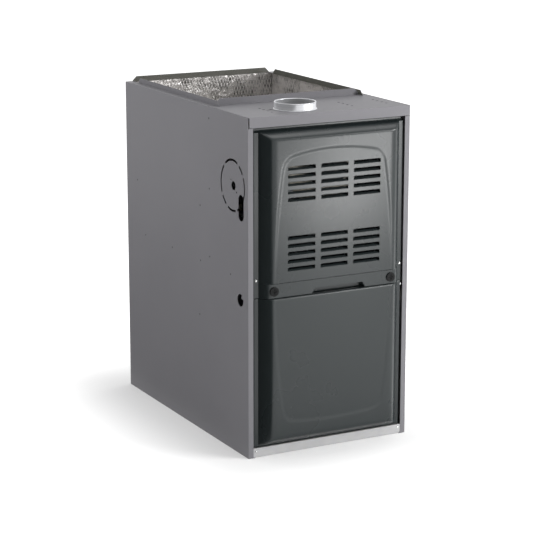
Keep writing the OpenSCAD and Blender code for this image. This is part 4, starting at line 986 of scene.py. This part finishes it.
@dataclass
class Doors:
    """Both doors with their screws and quarter-turn knobs."""

    screw_r: float = 3.0
    screw_hex_r: float = 2.1

    def build(self) -> None:
        """Build the pressings, then the knobs and screws."""
        UpperDoor("upper_door", fold_r=1.0).build()
        LowerDoor("lower_door", fold_r=2.6).build()
        for node in ("knob_left", "knob_right"):
            eased(node, KNOB_NYLON, 0.7)
        for node in ("door_screws", "casing_screws"):
            self.screws(node)

    def screws(self, node: str) -> None:
        """Build a washer-head screw at each end of a pair's box.

        Args:
            node: CAD node that holds the pair.
        """
        low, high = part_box(node)
        vertices, faces = [], []
        middle_z = (low.z + high.z) / 2
        radius = (high.z - low.z) / 2
        for x in (low.x + radius, high.x - radius):
            head = Vector((x, low.y, middle_z))
            for outline, steps in self.outlines((high.y - low.y) / MM):
                ring, sides = lathe(outline, Vector((0, 0, 0)), steps)
                faces += [tuple(len(vertices) + v for v in f) for f in sides]
                vertices += [head + Vector((p.x, p.z, p.y)) for p in ring]
        faces = [tuple(reversed(f)) for f in faces]
        stand_for(new_object(node + "_heads", vertices, faces, ZINC_PLATE), node)

    def outlines(self, length: float) -> list[tuple[list[tuple[float, float]], int]]:
        """Outlines of one screw, with its height measured back from the front of its head.

        Args:
            length: Length of the screw over all.

        Returns:
            Outline and number of sides of the washer with its shank, and of the hexagon.
        """
        washer = [(0, 1.3), (self.screw_r - 0.5, 1.3), (self.screw_r, 1.7), (self.screw_r, 2.0),
                  (1.7, 2.2), (1.7, length - 1.5), (0, length)]
        hexagon = [(0, 0.0), (self.screw_hex_r - 0.5, 0.0), (self.screw_hex_r, 0.4),
                   (self.screw_hex_r, 1.4), (0, 1.4)]
        return [(washer, 24), (hexagon, 6)]


# ---- Casing ----

@dataclass
class Casing:
    """Painted sheets, the bright strip at the foot and the spun collar on top."""

    fold_ease: float = 0.48
    dimple_shade_reach: float = 3.0
    dimple_shade_depth: tuple[float, float] = (0.3, 0.7)
    upstand_foot: float = 3.0
    collar_r: float = 51.0
    collar_wall: float = 1.2
    collar_base: float = 25.0
    rim_r: float = 1.5
    collar_steps: int = 160
    collar_angle: float = math.radians(50)

    def build(self) -> None:
        """Round the folded edges of the panels and spin the collar."""
        for node in ("left_side_panel", "right_side_panel"):
            panel = eased(node, CASING_PAINT, self.fold_ease)
            self.shade_dimples(panel)
            self.coat_reverse_and_shade(panel)
        self.coat_reverse_and_shade(eased("back_panel", CASING_PAINT, self.fold_ease))
        eased("top_cap", CASING_PAINT, self.fold_ease)
        eased("bottom_rail", BRIGHT_STRIP, self.fold_ease)
        for node in ("base_pan", "vestibule_panel", "blower_deck"):
            dress(node, ZINC_SHEET)
        self.collar()

    def shade_dimples(self, panel: Object) -> None:
        """Darken the small pressed spots with painted shade.

        Args:
            panel: A side panel.
        """
        # Painted shade: faces sunk a little into small dimples get the darker paint.
        panel.data.materials.append(DIMPLE_SHADE.material())
        shallow, deep = self.dimple_shade_depth
        reach = max(abs(v.co.x) for v in panel.data.vertices)
        for face in panel.data.polygons:
            across = max((panel.data.vertices[v].co - face.center).length for v in face.vertices)
            sunk = reach - abs(face.center.x)
            if shallow * MM < sunk < deep * MM and across < self.dimple_shade_reach * MM:
                face.material_index = 1

    def coat_reverse_and_shade(self, panel: Object) -> None:
        """Give the inner faces of the outlet's upstand flanges the sheet's thin reverse coat, taken darker
        as painted shade.

        Args:
            panel: A panel whose flange stands up round the supply outlet.
        """
        panel.data.materials.append(REVERSE_COAT_AND_SHADE.material())
        top_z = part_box("top_cap")[0].z
        for face in panel.data.polygons:
            # Painted shade: inward faces of the upstand get the darker coat.
            inward = -face.normal.x * face.center.x > 0.1 or face.normal.y < -0.9
            if inward and face.center.z > top_z + self.upstand_foot * MM:
                face.material_index = len(panel.data.materials) - 1

    def collar(self) -> None:
        """Spin the flue collar: a straight neck with a rolled rim, in its base ring."""
        low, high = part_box("flue_collar")
        axis = Vector(((low.x + high.x) / 2, (low.y + high.y) / 2, 0))
        top, base = high.z / MM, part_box("top_cap")[0].z / MM + self.collar_base
        outer, rim = self.collar_r, self.rim_r
        inner = outer - self.collar_wall
        outline = [(inner, low.z / MM), (outer, low.z / MM), (outer, base), (outer + 2.1, base),
                   (outer + 2.5, base + 0.4), (outer + 2.1, base + 1.1), (outer + 0.6, base + 1.3),
                   (outer, base + 2.0), (outer, top - 2 * rim - 0.4)]
        outline += arc((outer - rim + 0.5, top - rim), rim, -60, 180, 14)
        outline += [(inner, top - 2 * rim - 1)]
        vertices, faces = lathe(outline, axis, self.collar_steps)
        made = new_object("flue_collar_spinning", vertices, faces, BRIGHT_SPUN, self.collar_angle)
        stand_for(made, "flue_collar")
        dress("flue_outlet_pipe", ZINC_SHEET)


@dataclass
class FoilLining:
    """Foil-faced glass wool boards round the heat exchanger, creased by hand when fitted."""

    pitch: float = 5.0
    crease: float = 2.4
    broad: float = 60.0
    fine: float = 17.0
    facet_share: float = 1.6
    weights: tuple[float, ...] = (0.45, 0.35, 0.2)
    ridge_offset: tuple[float, ...] = (7, 3, 1)
    smooth_angle: float = math.radians(70)

    def build(self) -> None:
        """Build the three boards."""
        self.board("insulation_left", Vector((1, 0, 0)))
        self.board("insulation_right", Vector((-1, 0, 0)))
        self.board("insulation_back", Vector((0, -1, 0)))

    def sink(self, point: Vector) -> float:
        """How far the foil lies behind the board's face at a point, in metres."""
        broad = noise.noise(point / (self.broad * MM)) * 0.5 + 0.5
        ridges = 1 - abs(noise.noise(point / (self.fine * MM) + Vector(self.ridge_offset))) * 2
        facets = noise.voronoi(point / (self.facet_share * self.fine * MM))[0][0]
        slow, flat, sharp = self.weights
        share = slow * broad + flat * min(1, facets) + sharp * (1 - max(0, ridges))
        return self.crease * MM * min(1, share)

    def board(self, node: str, inward: Vector) -> None:
        """Build one board with a creased face.

        Args:
            node: CAD node that the board stands for.
            inward: Direction that its foil faces.
        """
        low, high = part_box(node)
        size = high - low
        across = Vector((abs(inward.y), abs(inward.x), 0))
        width = abs(size.dot(across))
        depth = abs(size.dot(inward))
        corner = Vector((high.x if inward.x > 0 else low.x, high.y if inward.y > 0 else low.y, low.z))
        columns = round(width / (self.pitch * MM))
        rows = round(size.z / (self.pitch * MM))
        vertices = []
        for i in range(columns + 1):
            for j in range(rows + 1):
                flat = corner + across * (width * i / columns) + Vector((0, 0, size.z * j / rows))
                edge = min(i, columns - i, j, rows - j) == 0
                vertices.append(flat - inward * (self.crease * MM * 0.5 if edge else self.sink(flat)))
        grid = [[i * (rows + 1) + j for j in range(rows + 1)] for i in range(columns + 1)]
        faces = [(grid[i][j], grid[i + 1][j], grid[i + 1][j + 1], grid[i][j + 1])
                 for i in range(columns) for j in range(rows)]
        rim = ([grid[i][0] for i in range(columns)] + [grid[columns][j] for j in range(rows)]
               + [grid[i][rows] for i in range(columns, 0, -1)] + [grid[0][j] for j in range(rows, 0, -1)])
        start = len(vertices)
        vertices += [vertices[v] - inward * (depth - self.crease * MM * 0.5) for v in rim]
        n = len(rim)
        faces += [(rim[a], start + a, start + (a + 1) % n, rim[(a + 1) % n]) for a in range(n)]
        faces.append(tuple(start + a for a in reversed(range(n))))
        if across.cross(Vector((0, 0, 1))).dot(inward) < 0:
            faces = [tuple(reversed(f)) for f in faces]
        stand_for(new_object(node + "_creased", vertices, faces, FOIL, self.smooth_angle), node)


# ---- Working parts ----

@dataclass
class WorkingParts:
    """What is behind the doors: burners, gas train, inducer, controls and blower."""

    folded: dict[str, Finish] = field(default_factory=lambda: {
        "collector_box": ALUMINISED, "burner_box": ZINC_SHEET, "junction_box": ZINC_SHEET,
        "control_panel": ZINC_SHEET, "motor_mount": ZINC_SHEET})
    moulded: dict[str, Finish] = field(default_factory=lambda: {
        "gas_valve": DIE_CAST, "gas_valve_knob": WHITE_NYLON, "transformer": MOTOR_ENAMEL,
        "inducer_motor": MOTOR_ENAMEL, "blower_motor": MOTOR_ENAMEL, "capacitor": ZINC_PLATE,
        "pressure_switch": KNOB_NYLON, "door_switch": WHITE_NYLON, "control_board": BOARD,
        "limit_switch": KNOB_NYLON, "rollout_switches": KNOB_NYLON})
    plain: dict[str, Finish] = field(default_factory=lambda: {
        "heat_exchanger_tubes": ALUMINISED, "burners": ALUMINISED, "gas_manifold": BLACK_PIPE,
        "gas_orifices": BRASS, "inducer_housing": ALUMINISED, "inducer_wheel": ALUMINISED,
        "inducer_cooling_fan": MOTOR_ENAMEL, "pressure_hose": BLACK_RUBBER,
        "igniter": STEATITE, "flame_sensor": STEATITE, "rollout_button_left": RED_NYLON,
        "rollout_button_right": RED_NYLON, "door_switch_plunger": WHITE_NYLON,
        "deck_grommet": BLACK_RUBBER, "wiring_harness": BLACK_RUBBER, "blower_wrap": ZINC_SHEET,
        "blower_side_left": ZINC_SHEET, "blower_side_right": ZINC_SHEET, "blower_wheel": ZINC_SHEET,
        "blower_shaft": GROUND_STEEL})
    fold_ease: float = 0.4
    mould_ease: float = 1.0

    def build(self) -> None:
        """Round what is folded, cast or moulded, and dress the rest as it is."""
        for node, finish in self.folded.items():
            eased(node, finish, self.fold_ease)
        for node, finish in self.moulded.items():
            eased(node, finish, self.mould_ease)
        for node, finish in self.plain.items():
            dress(node, finish)


# ---- Studio ----

class Lamp(Enum):
    """Lamps by name: place and aim in metres, size in metres, lean in degrees, power in watts."""

    KEY = ((2.3, -2.4, 1.9), (0.0, 0.0, 0.5), (1.4, 1.4), 0.0, 45.0)
    OVERHEAD = ((2.6, 0.9, 6.0), (0.0, 0.0, 0.0), (2.2, 2.2), 0.0, 35.0)
    FRONT_RIGHT = ((1.0, -1.1, 1.0), (0.2, -0.35, 0.6), (0.35, 0.35), 0.0, 4.0)
    DOOR_SHEEN = ((0.80, -1.63, 0.45), (0.04, -0.36, 0.67), (0.12, 0.44), -32.0, 5.2)
    SIDE_LIFT = ((-1.35, 0.0, 1.2), (-0.22, 0.0, 0.8), (0.8, 0.8), 0.0, 5.0)
    BACK_FILL = ((-2.2, 2.6, 2.4), (0.0, 0.2, 0.4), (1.8, 1.8), 0.0, 25.0)


@dataclass
class Studio:
    """Pale floor, soft lamps and a camera at the photograph's viewing angle.

    The camera's place and angles come from a fit to the casing's corners in the photograph.
    """

    image_px: int = 533
    sensor_mm: float = 36.0
    focal_px: float = 1888.9
    eye_from_corner: tuple[float, float, float] = (-1995.6, -3884.5, 1523.7)
    yaw_deg: float = 27.76
    pitch_deg: float = 13.41
    left_level: float = 0.36
    right_level: float = 0.85
    room_span: tuple[float, float] = (-0.6, 0.7)
    floor_half: float = 30.0
    floor_colour: str = "#e6e6e6"
    # Glow at the furnace's foot, lower than far away: a painted shadow.
    painted_shadow_lift: float = 0.2
    lift_far: float = 0.72
    painted_shadow_reach: float = 0.36
    card_x: float = -1.1
    card_foot_x: float = -0.26
    card_reach: tuple[float, float] = (-2.5, 2.5)
    card_top: float = 2.2
    card_colour: str = "#0b0b0b"

    def build(self) -> None:
        """Build the world, the floor, the lamps and the camera."""
        self.world()
        self.floor()
        self.dark_card()
        for lamp in Lamp:
            self.lamp(lamp)
        self.camera()
        bpy.context.scene.view_settings.view_transform = "Standard"

    @staticmethod
    def seen_directly(tree: NodeTree) -> NodeSocket:
        """Socket that is 1 for camera, glossy and transmission rays.

        Args:
            tree: Node tree that takes the nodes.

        Returns:
            The socket.
        """
        path = add_node(tree, "ShaderNodeLightPath").outputs
        shiny = math_node(tree, "MAXIMUM", path["Is Glossy Ray"], path["Is Transmission Ray"])
        return math_node(tree, "MAXIMUM", path["Is Camera Ray"], shiny)

    @staticmethod
    def sheet(name: str, points: Sequence, faces: Sequence, material: Material) -> Object:
        """Add a flat piece of the studio.

        Args:
            name: Name of the piece.
            points: Its corners in metres.
            faces: Corner numbers of each face.
            material: Its material.

        Returns:
            The piece, linked to the scene.
        """
        mesh = bpy.data.meshes.new(name)
        mesh.from_pydata(points, [], faces)
        mesh.materials.append(material)
        made = bpy.data.objects.new(name, mesh)
        bpy.context.scene.collection.objects.link(made)
        return made

    def world(self) -> None:
        """White where it is seen. Where it lights, it is a room with a bright right side."""
        made = bpy.data.worlds.new("Studio")
        bpy.context.scene.world = made
        tree = blank_tree(made)
        direction = add_node(tree, "ShaderNodeTexCoord").outputs["Generated"]
        across = add_node(tree, "ShaderNodeSeparateXYZ", inputs={"Vector": direction}).outputs["X"]
        room = smooth_map(tree, across, *self.room_span, self.left_level, self.right_level)
        level = add_node(tree, "ShaderNodeMapRange", inputs={
            "Value": self.seen_directly(tree), "To Min": room, "To Max": 1.0})
        light = add_node(tree, "ShaderNodeBackground", inputs={
            "Color": WHITE, "Strength": level.outputs["Result"]})
        add_node(tree, "ShaderNodeOutputWorld", inputs={"Surface": light.outputs["Background"]})

    def floor(self) -> None:
        """Pale floor that keeps the object's shadow, with a painted shadow round the furnace's foot."""
        half = self.floor_half
        corners = [(-half, -half, 0), (half, -half, 0), (half, half, 0), (-half, half, 0)]
        paper = bpy.data.materials.new("Studio paper")
        tree = blank_tree(paper)
        matt = add_node(tree, "ShaderNodeBsdfDiffuse", inputs={"Color": linear(self.floor_colour)})
        seen = math_node(tree, "MULTIPLY", self.seen_directly(tree), self.lift(tree))
        lift = add_node(tree, "ShaderNodeEmission", inputs={"Color": WHITE, "Strength": seen})
        both = add_node(tree, "ShaderNodeAddShader", inputs={
            0: matt.outputs["BSDF"], 1: lift.outputs["Emission"]})
        add_node(tree, "ShaderNodeOutputMaterial", inputs={"Surface": both.outputs["Shader"]})
        made = self.sheet("floor", corners, [(0, 1, 2, 3)], paper)

    def lift(self, tree: NodeTree) -> NodeSocket:
        """Glow of the paper: full away from the furnace and lower near it, a painted shadow round its foot.

        Args:
            tree: The paper's node tree.

        Returns:
            Strength of the glow.
        """
        place = add_node(tree, "ShaderNodeTexCoord").outputs["Object"]
        away = add_node(tree, "ShaderNodeVectorMath", {"operation": "ABSOLUTE"}, {0: place}).outputs[0]
        half = (CAD_BOX[1].x, CAD_BOX[1].y, 1.0)
        past = add_node(tree, "ShaderNodeVectorMath", {"operation": "SUBTRACT"}, {
            0: away, 1: half}).outputs[0]
        outside = add_node(tree, "ShaderNodeVectorMath", {"operation": "MAXIMUM"}, {
            0: past, 1: (0.0, 0.0, 0.0)}).outputs[0]
        distance = add_node(tree, "ShaderNodeVectorMath", {"operation": "LENGTH"}, {0: outside})
        # Painted shadow: the glow is lowest at the furnace and full from the reach outwards.
        return smooth_map(tree, distance.outputs["Value"], 0.0, self.painted_shadow_reach,
                          self.painted_shadow_lift, self.lift_far)

    def dark_card(self) -> None:
        """Stand a folded black card on the left that only reflections see: left slopes turn dark."""
        low, high, (front, back), top = self.card_x, self.card_foot_x, self.card_reach, self.card_top
        points = [(x, y, z) for x, z in ((low, top), (low, MM), (high, MM)) for y in (front, back)]
        felt = bpy.data.materials.new("Black felt")
        tree = blank_tree(felt)
        matt = add_node(tree, "ShaderNodeBsdfDiffuse", inputs={"Color": linear(self.card_colour)})
        add_node(tree, "ShaderNodeOutputMaterial", inputs={"Surface": matt.outputs["BSDF"]})
        made = self.sheet("dark card", points, [(0, 1, 3, 2), (2, 3, 5, 4)], felt)
        made.visible_camera = False
        made.visible_diffuse = False
        made.visible_shadow = False

    @staticmethod
    def lamp(lamp: Lamp) -> None:
        """Hang one rectangular lamp.

        Args:
            lamp: Which lamp.
        """
        place, aim, size, lean, power = lamp.value
        light = bpy.data.lights.new(lamp.name.lower(), "AREA")
        light.shape = "RECTANGLE"
        light.size, light.size_y = size
        light.energy = power
        made = bpy.data.objects.new(lamp.name.lower(), light)
        bpy.context.scene.collection.objects.link(made)
        made.location = place
        turned = (Vector(aim) - Vector(place)).to_track_quat("-Z", "Y")
        made.rotation_euler = (turned @ Quaternion((0, 0, 1), math.radians(lean))).to_euler()

    def camera(self) -> None:
        """Set the camera where the photograph was taken from."""
        lens = bpy.data.cameras.new("camera")
        lens.sensor_width = self.sensor_mm
        lens.lens = self.focal_px / self.image_px * self.sensor_mm
        lens.clip_end = 100
        made = bpy.data.objects.new("camera", lens)
        bpy.context.scene.collection.objects.link(made)
        corner = Vector((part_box("left_side_panel")[0].x, FRONT_Y, 0))
        made.location = corner + Vector(self.eye_from_corner) * MM
        made.rotation_euler = (math.radians(90 - self.pitch_deg), 0, -math.radians(self.yaw_deg))
        bpy.context.scene.camera = made


def main() -> None:
    """Build the furnace's looks and the studio."""
    logging.basicConfig(level=logging.INFO, format="%(message)s")
    for assembly in (Studio(), Casing(), FoilLining(), Doors(), WorkingParts()):
        assembly.build()
        LOG.info("%s is built", type(assembly).__name__)


if __name__ == "__main__":
    main()
